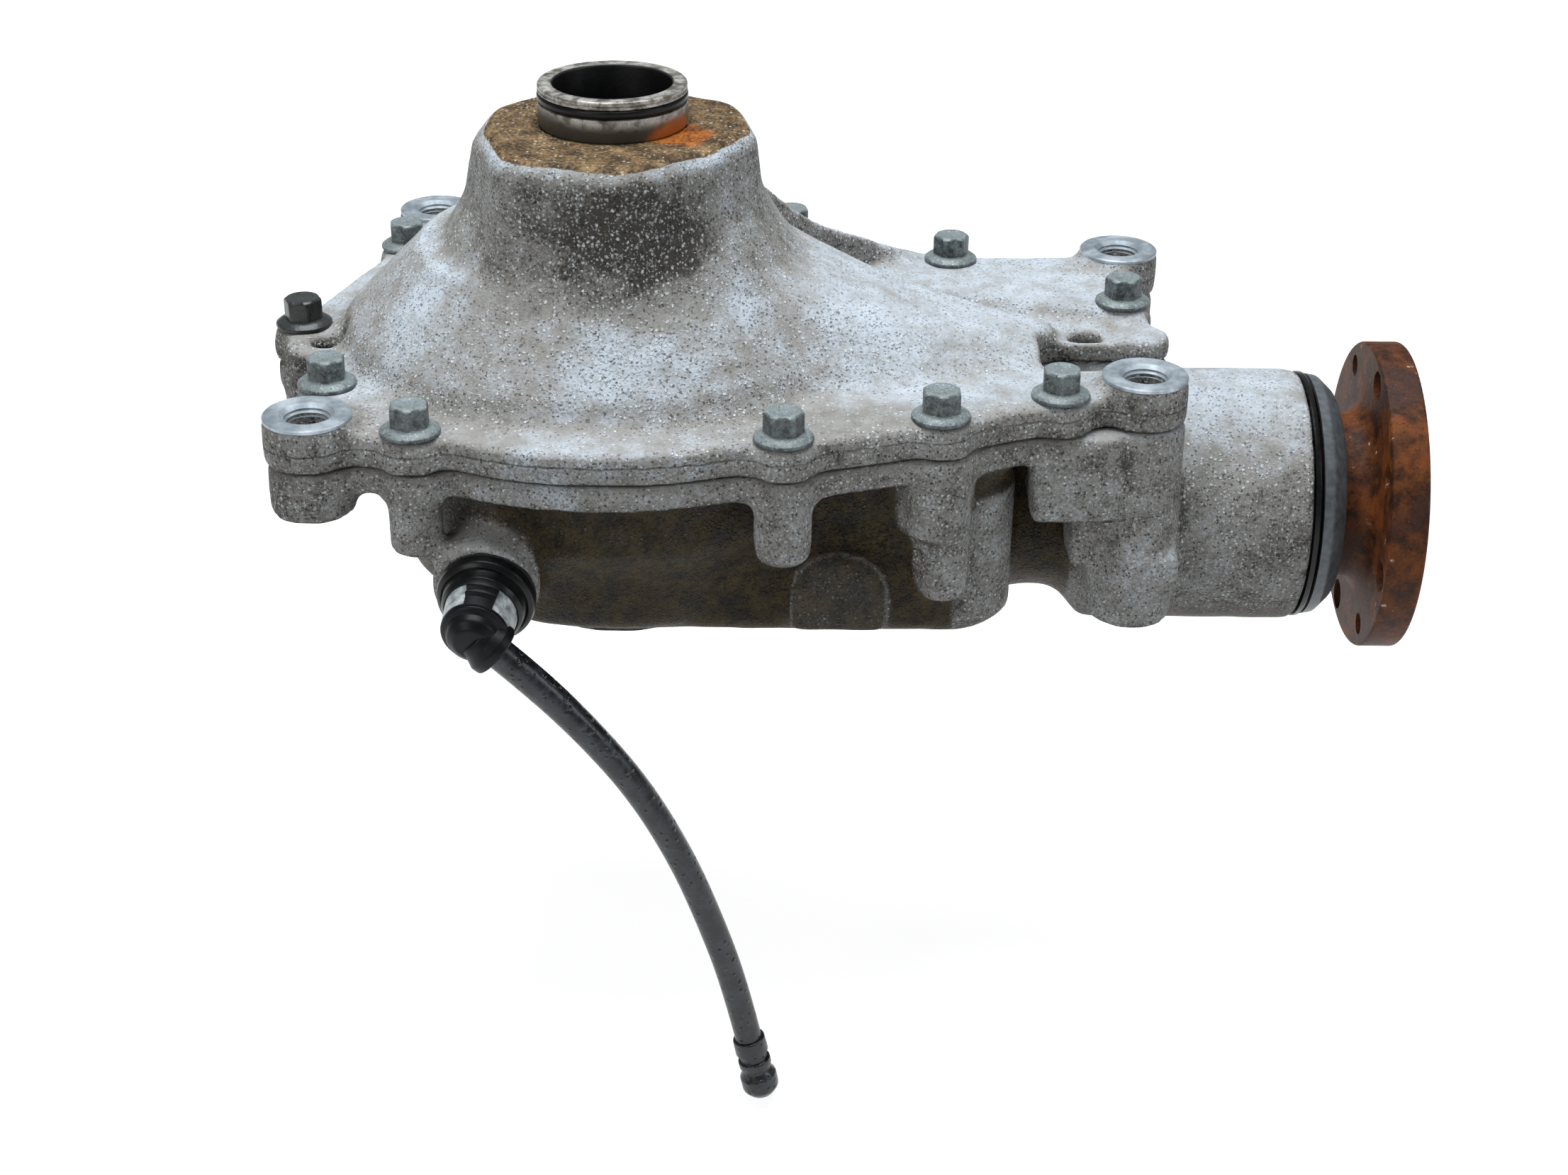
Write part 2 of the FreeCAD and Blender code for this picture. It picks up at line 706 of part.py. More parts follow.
def make_shield_ring():
    outer = tube_radius - 0.9
    return turned_x([(tube_end, seal_radius), (tube_end + 2.2, seal_radius), (tube_end + 2.2, outer, 0.8),
                     (tube_end, outer)])


# Castings
def neck_corners(scale, inset=0.0):
    """The neck's nine-sided plan, wider towards the front."""
    base = [(-48.0, -10.0), (-37.0, -46.0), (8.0, -60.0), (37.0, -36.0), (52.0, -8.0), (45.0, 26.0),
            (24.0, 37.0), (-29.0, 35.0), (-46.0, 18.0)]
    corners = []
    for x, y in base:
        reach = math.hypot(x, y)
        share = scale - inset / reach
        corners.append((x * share, y * share, neck_corner))
    return corners


def bell_shape(foot):
    """The bell over the ring gear: a hollow flare that ends in a rounded skirt."""
    low = joint_height + 2
    return turned([(0, low), (foot, low), (foot, 0), (foot - 4, 8.0, 10.0),
                   (bell_shoulder, skirt_height, 30.0), (bell_neck + 3.5, 54.0, 12.0), (bell_neck, 74.0),
                   (0, 74.0)])


def arch(station, low):
    """Wire across X of the roof's section: place in x, reach to the front and to the rear, and height."""
    x, front, rear, top = station
    radius = 0.55 * min(front, rear)
    corners = [(-front, low), (-0.45 * front, top, radius), (0.45 * rear, top, radius), (rear, low)]
    return rounded(corners, lambda p: Vector(x, p.x, row(p.y)))


def make_roof(inset, low):
    """The roof from the bell down to the tip of the cover, over the pinion."""
    stations = [(x, front - inset, rear - inset, top - inset)
                for x, front, rear, top in (roof_start, roof_bend, roof_middle, roof_end)]
    return Part.makeLoft([arch(station, low) for station in stations], True)


def make_rib():
    """The gusset from the neck's rear right corner down to the flange."""
    reach = (rib_end - rib_start).Length
    along = (rib_end - rib_start).normalize()
    across = Vector(-along.y, along.x, 0)
    low = joint_height + 2
    corners = [(0, low), (reach, low), (reach, 0), rib_waist + (80.0,), (0, rib_top)]
    origin = rib_start - across * (rib_thick / 2)
    face = Part.Face(rounded(corners, lambda p: origin + along * p.x + Vector(0, 0, row(p.y))))
    return face.extrude(across * rib_thick)


def make_cover():
    plate = flange_plate(0.0, joint_height, -cover_ridge)
    upper = flange_plate(flange_step, -cover_ridge, 0.0)
    lip = flange_lip(0.0, joint_height, 0.0)
    valley = slab(valley_plan, -valley_depth, 1.0)
    sides = (finger_tip[1] - finger_boss - 2.5, finger_tip[1] + finger_boss + 1.5)
    end = finger_tip[0] + 2 * finger_boss
    tip = slab([(finger_flat, sides[0]), (end, sides[0]), (end, sides[1]), (finger_flat, sides[1])],
               -finger_drop, 1.0)
    upper = upper.cut(valley).cut(tip)
    bell = bell_shape(bell_foot)
    lobe = bell_shape(bell_foot + 2.0).common(disc(bell_foot + 5.0, joint_height, lobe_top))
    lobe.translate(lobe_shift)
    shoulder = plan(neck_corners(1.02), neck_height - 4.5)
    flare = Part.makeLoft([plan(neck_corners(neck_flare), neck_root), plan(neck_corners(1.08), neck_waist),
                           shoulder], True)
    crown = Part.makeLoft([shoulder, plan(neck_corners(1.0, 3.0), neck_height)], True, True)
    roof = make_roof(0.0, joint_height + 2)
    bosses = [disc(mount_boss, joint_height, mount_rise, place) for place in mounts.values()]
    outer = fused([plate, upper, lip, bell, lobe, flare, crown, roof, make_rib()] + bosses).cut(bay_tool(0.0))
    low = joint_height - 1
    support_radius = bearing_radius + 8.0
    chamber = turned([(0, low), (bell_foot - wall, low), (bell_foot - wall, 4.0),
                      (bell_shoulder - wall, skirt_height - wall - 3, 18.0), (support_radius, chamber_top),
                      (0, chamber_top)])
    under_roof = make_roof(wall + 3.0, low).common(disc(bell_foot + 50.0, low, chamber_top - 2))
    hollow = chamber.fuse(under_roof).cut(disc(support_radius, joint_height, chamber_top + 2))
    cup_end = upper_bearing_low + bearing_width
    press_low = neck_height - spigot_press
    stack = turned([(0, low), (bearing_radius, low), (bearing_radius, cup_end), (bearing_radius - 5, cup_end),
                    (bearing_radius - 5, seal_seat), (spigot_radius + 3, seal_seat),
                    (spigot_radius + 3, press_low), (spigot_seat, press_low), (spigot_seat, neck_height + 1),
                    (0, neck_height + 1)])
    drills = hole_drill(bolt_radius + 0.5, bolts, joint_height - 1, 10.0)
    drills += hole_drill(mount_hole, mounts.values(), joint_height - 1, 10.0)
    drills += hole_drill(lug_hole, [left_lug], joint_height - 1, 10.0)
    drills += hole_drill(lug_face, [left_lug], 0.0, 10.0)
    drills += hole_drill(finger_hole, [(finger_hole_x, finger_tip[1])], joint_height - 1, 10.0)
    drills += hole_drill(dowel_radius + slip_gap, dowels, joint_height - 1, joint_height + dowel_length / 2)
    for place in mounts.values():
        drills.append(Part.makeCone(mount_hole, mount_hole + mount_chamfer, mount_chamfer,
                                    Vector(place[0], place[1], row(mount_rise - mount_chamfer))))
    return outer.cut(hollow).cut(stack).cut(group(drills))


def block_plan(out):
    """Plan of the squared block over the pinion's head, larger by a margin."""
    return [(0, -block_front - out), (block_right + out, -block_front - out, block_corner),
            (block_right + out, block_rear + out, block_corner), (0, block_rear + out)]


def bolt_columns():
    """The threaded columns under the bolts; the front ones have feet of their own."""
    columns = [disc(column_radius, foot, joint_height, place) for place, foot in zip(bolts, column_feet)]
    near, middle, far = bolts[1:4]
    near_column = turned([(0, near_foot), (near_radius, near_foot, near_corner), (near_radius, joint_height),
                          (0, joint_height)])
    near_column.translate(Vector(near[0], near[1], 0))
    columns.append(near_column)
    columns.append(disc(bolt_boss, column_feet[2], joint_height, middle))
    columns.append(disc(low_column_radius, low_column_foot, joint_height, low_column))
    left, right, front, rear = far_lug
    corners = [(far[0] + left, far[1] + front, 2.0), (far[0] + right, far[1] + front + 2),
               (far[0] + right, far[1] + rear), (far[0] + left, far[1] + rear)]
    columns.append(slab(corners, column_feet[3], joint_height))
    return columns


def make_housing():
    plate = flange_plate(flange_step, flange_low, joint_height)
    lip = flange_lip(flange_step, flange_low, joint_height)
    bowl = turned([(0, joint_height), (bowl_radius, joint_height), (bowl_radius, bowl_belly, 10.0),
                   (bowl_foot + 7.0, bowl_belly - 14.0, 12.0), (bowl_foot, bowl_bottom + 6.0, 8.0),
                   (bowl_foot - 12.0, bowl_bottom), (0, bowl_bottom)])
    edge_top = bowl_bottom + block_edge
    block = slab(block_plan(0.0), edge_top, block_top)
    upper_block = slab(block_plan(-9.0), block_top, joint_height)
    keel = slab(block_plan(-3.0), bowl_bottom, edge_top)
    pad_front = block_front + pad_rise
    pad = Part.makeCylinder(pad_radius, pad_front, Vector(pad_place[0], 0, row(pad_place[1])),
                            Vector(0, -1, 0))
    pad_foot = Part.makeBox(2 * pad_radius, pad_front, pad_place[1] - edge_top,
                            Vector(pad_place[0] - pad_radius, -pad_front, row(edge_top)))
    pad = pad.fuse(pad_foot).common(disc(bell_foot + 50.0, edge_top, joint_height))
    tunnel = rod(pinion_bearing + tunnel_wall, 0.0, tunnel_end)
    neck = rod(neck_radius, neck_start, tube_start + 4)
    tube = turned_x([(tube_start - 12.0, neck_radius - 2), (tube_start, tube_radius, 6.0),
                     (tube_end, tube_radius, 2.0), (tube_end, 0), (tube_start - 12.0, 0)])
    low_hub = disc(bearing_radius + 3.0, journal_low - low_seal, bowl_bottom + 4)
    columns = [disc(mount_boss - flange_step, mount_foot, joint_height, mounts[key]) for key in "abc"]
    low_d = disc(mount_boss, mount_d_foot, joint_height, mounts["d"])
    ledge_back = mounts["d"][1]
    ledge_front = ledge_back - mount_boss - ledge_proud
    ledge = slab([(ledge_start, ledge_front, 2.0), (ledge_end, ledge_front, 2.0), (ledge_end, ledge_back),
                  (ledge_start, ledge_back)], mount_ledge, ledge_top)
    columns += [low_d, ledge] + bolt_columns()
    vent = Part.makeCylinder(vent_ring + 1.5, 40.0, vent_centre - vent_axis * 40.0, vent_axis)
    tie = slab(tie_plan, tie_low, joint_height)
    rear_tie = slab(rear_tie_plan, rear_tie_low, joint_height)
    outer = fused([plate, lip, bowl, block, upper_block, keel, pad, tunnel, neck, tube, low_hub, vent, tie,
                   rear_tie] + columns)
    chamber = turned([(0, joint_height + 1), (bowl_radius - wall - 0.5, joint_height + 1),
                      (bowl_radius - wall - 0.5, bowl_belly + 3, 8.0), (bowl_foot, bowl_belly - 12.0, 10.0),
                      (bowl_foot - wall, bowl_bottom + 9.0, 6.0), (bearing_radius + 3.0, bowl_bottom + wall),
                      (0, bowl_bottom + wall)])
    pocket = slab(block_plan(-wall - 3.0), bowl_bottom + wall + 4, block_top - 4.0)
    hub = rod(pinion_bearing + tunnel_wall, head_back - 0.5, tunnel_end - 2)
    inner = chamber.fuse(pocket).cut(hub)
    bores = turned_x([(0, 0), (0, pinion_bearing), (head_bearing_end + turn_gap, pinion_bearing),
                      (head_bearing_end + turn_gap, pinion_bearing - 5), (rear_bearing, pinion_bearing - 5),
                      (rear_bearing, pinion_bearing), (rear_bearing_end + 14.0, pinion_bearing),
                      (rear_bearing_end + 14.0, seal_radius), (tube_end + 1, seal_radius), (tube_end + 1, 0)])
    low_bore = turned([(0, journal_low - low_seal - 1), (journal_radius + 6, journal_low - low_seal - 1),
                       (journal_radius + 6, journal_low), (bearing_radius, journal_low),
                       (bearing_radius, bowl_bottom + wall + 2), (0, bowl_bottom + wall + 2)])
    drills = hole_drill(bolt_radius + thread_gap, bolts, -bolt_grip - 3, 0)
    drills += hole_drill(mount_hole, mounts.values(), mount_d_foot - 1, 0)
    drills += hole_drill(lug_hole, [left_lug], -60.0, 0)
    drills += hole_drill(finger_hole, [(finger_hole_x, finger_tip[1])], -24.0, 0)
    drills += hole_drill(dowel_radius + slip_gap, dowels, joint_height - dowel_length / 2, joint_height + 1)
    port = Part.makeCylinder(vent_sleeve, 60.0, vent_centre - vent_axis * 40.0, vent_axis)
    return outer.cut(inner).cut(bores).cut(low_bore).cut(group(drills)).cut(port)


def make_cover_bolts():
    made = []
    for place in bolts:
        shank = disc(bolt_radius, -bolt_grip, 0.5, place)
        foot = Vector(place[0], place[1], row(0))
        washer = Part.makeCone(bolt_washer, bolt_washer - 1.4, washer_thick, foot)
        head = hexagon(bolt_flats, washer_thick - 0.1, washer_thick + bolt_head, place)
        made.append(fused([shank, washer, head]))
    return group(made)


def make_dowels():
    half = dowel_length / 2 - 0.3
    return group([disc(dowel_radius, joint_height - half, joint_height + half, place) for place in dowels])


def make_spigot():
    low = neck_height - spigot_press
    top = neck_height + spigot_rise
    base = neck_height
    groove_floor = spigot_radius - groove_depth
    return turned([(spigot_bore, low), (spigot_seat - press_gap, low), (spigot_seat - press_gap, base),
                   (spigot_radius, base), (spigot_radius, base + groove_low),
                   (groove_floor, base + groove_low), (groove_floor, base + groove_high),
                   (spigot_radius, base + groove_high),
                   (spigot_radius, top, 1.6), (spigot_bore, top, 1.0)])


def make_o_ring():
    """The ring as the sump's bore squeezes it, flush with the spigot."""
    inner = spigot_radius - groove_depth + press_gap
    low = neck_height + groove_low + slip_gap
    high = neck_height + groove_high - slip_gap
    return turned([(inner, low, 0.8), (spigot_radius, low, 0.8), (spigot_radius, high, 0.8),
                   (inner, high, 0.8)])


# Breather and hose
def along_vent(radius_near, radius_far, start, end):
    """Round length on the breather's axis, from and to distances from the ring's outer face."""
    base = vent_centre + vent_axis * start
    if abs(radius_near - radius_far) < 1e-6:
        return Part.makeCylinder(radius_near, end - start, base, vent_axis)
    return Part.makeCone(radius_near, radius_far, end - start, base, vent_axis)


def make_vent_ring():
    outer = along_vent(vent_ring, vent_ring - 1.0, 0.0, vent_ring_thick)
    return outer.cut(along_vent(vent_sleeve + slip_gap, vent_sleeve + slip_gap, -1, vent_ring_thick + 1))


def make_vent_sleeve():
    outer = along_vent(vent_sleeve - press_gap, vent_sleeve - press_gap, -18.0, vent_sleeve_out)
    return outer.cut(along_vent(vent_sleeve - vent_wall, vent_sleeve - vent_wall, -19.0, vent_sleeve_out + 1))


hose_points = [Vector(x, hose_plane, z - neck_height) for x, z in hose_route]
hose_start_way = (hose_points[1] - hose_points[0]).normalize()
hose_end_way = (hose_points[-1] - hose_points[-2]).normalize()


def make_connector():
    plug = along_vent(vent_cap, vent_cap, -10.0, vent_sleeve_out + 4.0)
    cap = along_vent(vent_cap, vent_cap - 2.0, vent_sleeve_out + 4.0, vent_sleeve_out + 15.0)
    knee = vent_centre + vent_axis * (vent_sleeve_out + 11.0)
    reach = hose_points[0] - knee
    arm = Part.makeCylinder(8.2, reach.Length, knee, reach)
    collar = Part.makeCone(8.0, 10.0, 6.0, hose_points[0] - hose_start_way * 6.0, hose_start_way)
    ball = Part.makeSphere(9.0, knee)
    socket = Part.makeCylinder(hose_radius + slip_gap, 3 * hose_radius, hose_points[0], hose_start_way)
    return fused([plug, cap, ball, arm, collar]).cut(socket)


def arc_path(points):
    """Straight runs joined by tangent arcs, each as large as its two runs allow."""
    edges = []
    start = points[0]
    for before, point, after in zip(points, points[1:], points[2:]):
        back = before - point
        ahead = after - point
        half = back.getAngle(ahead) / 2
        reach = 0.45 * min(back.Length, ahead.Length)
        radius = reach * math.tan(half)
        back.normalize()
        ahead.normalize()
        crown = point + (back + ahead).normalize() * (radius / math.sin(half) - radius)
        edges.append(Part.LineSegment(start, point + back * reach).toShape())
        edges.append(Part.Arc(point + back * reach, crown, point + ahead * reach).toShape())
        start = point + ahead * reach
    edges.append(Part.LineSegment(start, points[-1]).toShape())
    return Part.Wire(edges)


def make_hose():
    path = arc_path(hose_points)
    section = Part.Wire([Part.makeCircle(hose_radius, hose_points[0], hose_start_way)])
    return path.makePipeShell([section], True, False)


def make_hose_end():
    start = hose_points[-1]
    pieces = [Part.makeCylinder(hose_radius + 1.2, 5.0, start, hose_end_way),
              Part.makeCylinder(hose_radius - 0.4, 16.0, start, hose_end_way)]
    pieces.append(Part.makeCylinder(hose_radius + 1.0, 3.0, start + hose_end_way * 8.0, hose_end_way))
    pieces.append(Part.makeSphere(hose_radius + 1.6, start + hose_end_way * 18.0))
    return fused(pieces)


def bearing_set(prefix, radius_in, radius_out, width, place):
    """Cup, rollers and cone of one bearing, each its own node."""
    return dict(zip((prefix + "_cup", prefix + "_rollers", prefix + "_cone"),
                    [place(piece) for piece in bearing(radius_in, radius_out, width)]))


nodes = {
    "upper_cover": make_cover(),
    "lower_housing": make_housing(),
    "cover_bolts": make_cover_bolts(),
    "dowels": make_dowels(),
    "spigot_tube": make_spigot(),
    "spigot_o_ring": make_o_ring(),
    "upper_output_seal": set_upright(seal(output_shaft, spigot_radius + 3, seal_width),
                                     neck_height - spigot_press - seal_width - 0.5),
    "lower_output_seal": set_upright(seal(output_shaft, journal_radius + 6, low_seal - 0.5),
                                     journal_low - 0.5, flip=True),
    "carrier_case": make_carrier(),
    "ring_gear": make_ring_gear(),
    "ring_gear_bolts": make_ring_bolts(),
    "cross_pin": make_cross_pin(),
    "cross_pin_lock": make_lock_pin(),
    "side_gear_upper": make_side_gear(True),
    "side_gear_lower": make_side_gear(False),
    "side_gear_washers": make_side_washers(),
    "spider_gear_rear": make_spider(1),
    "spider_gear_front": make_spider(-1),
    "spider_washers": make_spider_washers(),
    "pinion_shaft": make_pinion(),
    "crush_sleeve": turned_x([(head_bearing_end + slip_gap, pinion_shaft_radius + slip_gap),
                              (head_bearing_end + slip_gap, pinion_shaft_radius + 3),
                              (rear_bearing - slip_gap, pinion_shaft_radius + 3),
                              (rear_bearing - slip_gap, pinion_shaft_radius + slip_gap)]),
    "pinion_seal": set_along_x(seal(sleeve_radius, seal_radius, 10.0), rear_bearing_end + 14.2),
    "input_flange": make_input_flange(),
    "pinion_nut": make_pinion_nut(),
    "dust_shield": make_dust_shield(),
    "shield_ring": make_shield_ring(),
    "vent_retainer": make_vent_ring(),
    "vent_sleeve": make_vent_sleeve(),
    "vent_connector": make_connector(),
    "breather_hose": make_hose(),
    "hose_end": make_hose_end(),
}
nodes.update(bearing_set("upper_bearing", journal_radius, bearing_radius, bearing_width,
                         lambda piece: set_upright(piece, upper_bearing_low)))
nodes.update(bearing_set("lower_bearing", journal_radius, bearing_radius, bearing_width,
                         lambda piece: set_upright(piece, lower_bearing_high, flip=True)))
nodes.update(bearing_set("head_bearing", pinion_journal, pinion_bearing, pinion_bearing_width,
                         lambda piece: set_along_x(piece, head_bearing_end, flip=True)))
nodes.update(bearing_set("rear_bearing", pinion_shaft_radius, pinion_bearing, pinion_bearing_width,
                         lambda piece: set_along_x(piece, rear_bearing)))

os.makedirs("parts", exist_ok=True)
for name, shape in nodes.items():
    shape.exportStep("parts/" + name + ".step")
    print(name, shape.isValid(), len(shape.Solids), round(shape.Volume))
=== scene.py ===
"""Looks of a front differential: castings, machined seats, bolts, spigot, input flange, breather and hose.

Lengths in the numpy functions are millimetres, and a height is measured from the bolt seats, as in the part's
source. Meshes are written in metres, in the row frame, where the top of the cover's neck is at zero.
"""
import json
import math

import bmesh
import bpy
import numpy as np
from mathutils import Matrix


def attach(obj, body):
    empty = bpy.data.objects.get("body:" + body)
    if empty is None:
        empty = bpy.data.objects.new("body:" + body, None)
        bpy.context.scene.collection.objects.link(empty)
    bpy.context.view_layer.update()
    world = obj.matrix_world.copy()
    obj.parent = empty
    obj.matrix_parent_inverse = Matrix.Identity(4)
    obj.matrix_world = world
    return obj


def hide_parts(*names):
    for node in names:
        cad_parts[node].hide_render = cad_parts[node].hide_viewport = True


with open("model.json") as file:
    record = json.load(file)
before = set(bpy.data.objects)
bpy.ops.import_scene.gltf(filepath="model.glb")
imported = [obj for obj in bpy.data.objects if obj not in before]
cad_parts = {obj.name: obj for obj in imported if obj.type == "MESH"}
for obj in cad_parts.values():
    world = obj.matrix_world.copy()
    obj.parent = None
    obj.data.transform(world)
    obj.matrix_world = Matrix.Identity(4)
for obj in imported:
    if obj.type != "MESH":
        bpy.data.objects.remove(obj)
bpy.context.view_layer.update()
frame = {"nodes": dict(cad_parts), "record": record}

nodes = frame["nodes"]

MM = 0.001
NECK_HEIGHT = 80.5
RIDGE = -5.0
JOINT = -12.4
FLANGE_LOW = -22.8
PINION_AXIS = -66.0
BOWL_RADIUS = 100.0
BLOCK_FRONT = 75.0
BLOCK_REAR = 58.0
BLOCK_RIGHT = 147.0
MOUNTS = ((-100.8, -92.4), (-82.7, 121.2), (196.8, 79.4), (191.8, -50.6))
BOLTS = ((-65.0, -97.0), (62.6, -100.0), (117.3, -80.6), (160.7, -61.0), (193.2, 31.2), (129.2, 76.8),
         (65.0, 108.0), (-12.0, 118.0), (-90.7, 86.4), (-118.0, 1.0), (-100.0, -56.4))
VENT_CENTRE = np.array([-42.0, -105.0, -58.0])
VENT_AXIS = np.array([-0.10, -0.98, -0.15]) / np.linalg.norm([-0.10, -0.98, -0.15])
HOSE_RADIUS = 5.0
HOSE_ROUTE = np.array([(-36.0, -128.0, -67.3), (-22.9, -128.0, -79.6), (-5.0, -128.0, -99.5),
                       (12.5, -128.0, -123.0), (27.0, -128.0, -151.0), (37.5, -128.0, -179.0),
                       (46.5, -128.0, -208.0), (52.0, -128.0, -234.0)])
FLOOR = -262.0
FLOOR_REACH = 6000.0

CAMERA_PLACE = (62.5, -880.0, 353.57)
CAMERA_ANGLES = (0.056, 27.754, 0.568)
FOCAL_PIXELS = 3539.75
PHOTO_WIDTH = 2212.0
SENSOR_WIDTH = 36.0
LIT_CENTRE = (0.08, 0.0, -0.08)


def metres(points):
    """Points (x, y, height) in millimetres to the row frame in metres."""
    return (np.asarray(points, float) - (0.0, 0.0, NECK_HEIGHT)) * MM


# Camera and light

def aim_camera():
    """The camera: its right, up and back axes from yaw, pitch and roll, in the photograph's frame."""
    yaw, pitch, roll = np.radians(CAMERA_ANGLES)
    level = np.array([math.sin(yaw), math.cos(yaw), 0.0])
    right = np.array([math.cos(yaw), -math.sin(yaw), 0.0])
    up = np.array([0.0, 0.0, 1.0])
    forward = level * math.cos(pitch) - up * math.sin(pitch)
    upward = level * math.sin(pitch) + up * math.cos(pitch)
    side = right * math.cos(roll) + upward * math.sin(roll)
    top = upward * math.cos(roll) - right * math.sin(roll)
    place = np.eye(4)
    place[:3, 0], place[:3, 1], place[:3, 2] = side, top, -forward
    place[:3, 3] = metres(CAMERA_PLACE)
    lens = bpy.data.cameras.new("camera")
    lens.sensor_width = SENSOR_WIDTH
    lens.lens = FOCAL_PIXELS / PHOTO_WIDTH * SENSOR_WIDTH
    lens.clip_end = 30.0
    camera = bpy.data.objects.new("camera", lens)
    camera.matrix_world = Matrix(place.tolist())
    bpy.context.scene.collection.objects.link(camera)
    bpy.context.scene.camera = camera


def soft_light(name, place, target, size, power, colour):
    """A square area light at a place, facing a target, all in metres."""
    lamp = bpy.data.lights.new(name, "AREA")
    lamp.shape = "SQUARE"
    lamp.size = size
    lamp.energy = power
    lamp.color = colour
    shape = bpy.data.objects.new(name, lamp)
    back = np.array(place, float) - np.array(target, float)
    back /= np.linalg.norm(back)
    side = np.cross((0.0, 1.0, 0.001), back)
    side /= np.linalg.norm(side)
    matrix = np.eye(4)
    matrix[:3, 0], matrix[:3, 1], matrix[:3, 2], matrix[:3, 3] = side, np.cross(back, side), back, place
    shape.matrix_world = Matrix(matrix.tolist())
    bpy.context.scene.collection.objects.link(shape)


# Shader maths

class Signal:
    """A socket of a material's nodes. Operators on it add Math nodes."""

    def __init__(self, paint, socket):
        self.paint = paint
        self.socket = socket

    def maths(self, operation, *values):
        return self.paint.node("ShaderNodeMath", {"operation": operation}, values)

    def __add__(self, other):
        return self.maths("ADD", self, other)

    __radd__ = __add__

    def __sub__(self, other):
        return self.maths("SUBTRACT", self, other)

    def __rsub__(self, other):
        return self.maths("SUBTRACT", other, self)

    def __mul__(self, other):
        return self.maths("MULTIPLY", self, other)

    __rmul__ = __mul__

    def clamped(self):
        return self.paint.node("ShaderNodeClamp", {}, (self, 0.0, 1.0))

    def size(self):
        """The value without its sign."""
        return self.maths("ABSOLUTE", self)

    def step(self, low, high):
        """Smooth step: 0 below low, 1 above high."""
        settings = {"interpolation_type": "SMOOTHSTEP"}
        values = {"Value": self, "From Min": low, "From Max": high}
        return self.paint.node("ShaderNodeMapRange", settings, values)


class Paint:
    """A material under construction."""

    def __init__(self, name):
        self.material = bpy.data.materials.new(name)
        self.material.use_nodes = True
        self.tree = self.material.node_tree
        self.tree.nodes.clear()
        self.output = self.tree.nodes.new("ShaderNodeOutputMaterial")
        self.shader = self.tree.nodes.new("ShaderNodeBsdfPrincipled")
        self.tree.links.new(self.shader.outputs["BSDF"], self.output.inputs["Surface"])
        self.place = self.node("ShaderNodeTexCoord", {}, {}, "Object")

    def node(self, kind, settings, values, output=0):
        """Any node: settings first, then the values or links of its sockets, by order or by name."""
        made = self.tree.nodes.new(kind)
        for key, value in settings.items():
            setattr(made, key, value)
        pairs = values.items() if isinstance(values, dict) else enumerate(values)
        for key, value in pairs:
            if isinstance(value, Signal):
                self.tree.links.new(value.socket, made.inputs[key])
            else:
                made.inputs[key].default_value = value
        return Signal(self, made.outputs[output])

    def noise(self, size, detail=3.0, rough=0.6, output=0):
        """Noise whose largest features are about size millimetres."""
        values = {"Vector": self.place, "Scale": 1.0 / (size * MM), "Detail": detail, "Roughness": rough}
        return self.node("ShaderNodeTexNoise", {}, values, output)

    def shaken(self, size, reach):
        """Object coordinates pushed about by noise of a size, over a reach, both in millimetres."""
        middle = (0.5, 0.5, 0.5)
        push = self.node("ShaderNodeVectorMath", {"operation": "SUBTRACT"},
                         (self.noise(size, 1.0, 0.5, "Color"), middle))
        return self.node("ShaderNodeVectorMath", {"operation": "MULTIPLY_ADD"},
                         (push, (reach * MM, reach * MM, reach * MM), self.place))

    def grains(self, size, at):
        """Grains about size millimetres apart: distance to the nearest, and its three random numbers."""
        values = {"Vector": at, "Scale": 1.0 / (size * MM)}
        distance = self.node("ShaderNodeTexVoronoi", {"feature": "F1"}, values, "Distance")
        return distance, self.split(Signal(self, distance.socket.node.outputs["Color"]))

    def split(self, colour):
        """The three channels of a colour."""
        parts = self.node("ShaderNodeSeparateColor", {}, (colour,)).socket.node.outputs
        return [Signal(self, socket) for socket in parts]

    def level(self):
        """Height above the bolt seats, in millimetres."""
        parts = self.node("ShaderNodeSeparateXYZ", {}, (self.place,), "Z")
        return parts * (1.0 / MM) + NECK_HEIGHT

    def attribute(self, name):
        """Three numbers that the mesh carries at each point."""
        return self.split(self.node("ShaderNodeAttribute", {"attribute_name": name}, {}, "Color"))

    def mix(self, share, first, second):
        """Colour between two colours."""
        values = {0: share, 6: first, 7: second}
        return self.node("ShaderNodeMix", {"data_type": "RGBA"}, values, 2)

    def bump(self, height, depth, before=None):
        """Normal bent by a height, with a depth in millimetres."""
        values = {"Height": height, "Distance": depth * MM, "Strength": 1.0}
        if before is not None:
            values["Normal"] = before
        return self.node("ShaderNodeBump", {}, values)

    def finish(self, **values):
        """Set the shader's sockets by name, and hand over the material."""
        for key, value in values.items():
            name = "Specular IOR Level" if key == "specular" else key.replace("_", " ").title()
            socket = self.shader.inputs[name]
            if isinstance(value, Signal):
                self.tree.links.new(value.socket, socket)
            else:
                socket.default_value = value
        return self.material


def srgb(red, green, blue):
    """Linear colour from the usual 0 to 255 values."""
    share = np.array((red, green, blue)) / 255.0
    linear = np.where(share <= 0.04045, share / 12.92, ((share + 0.055) / 1.055) ** 2.4)
    return tuple(float(c) for c in linear) + (1.0,)


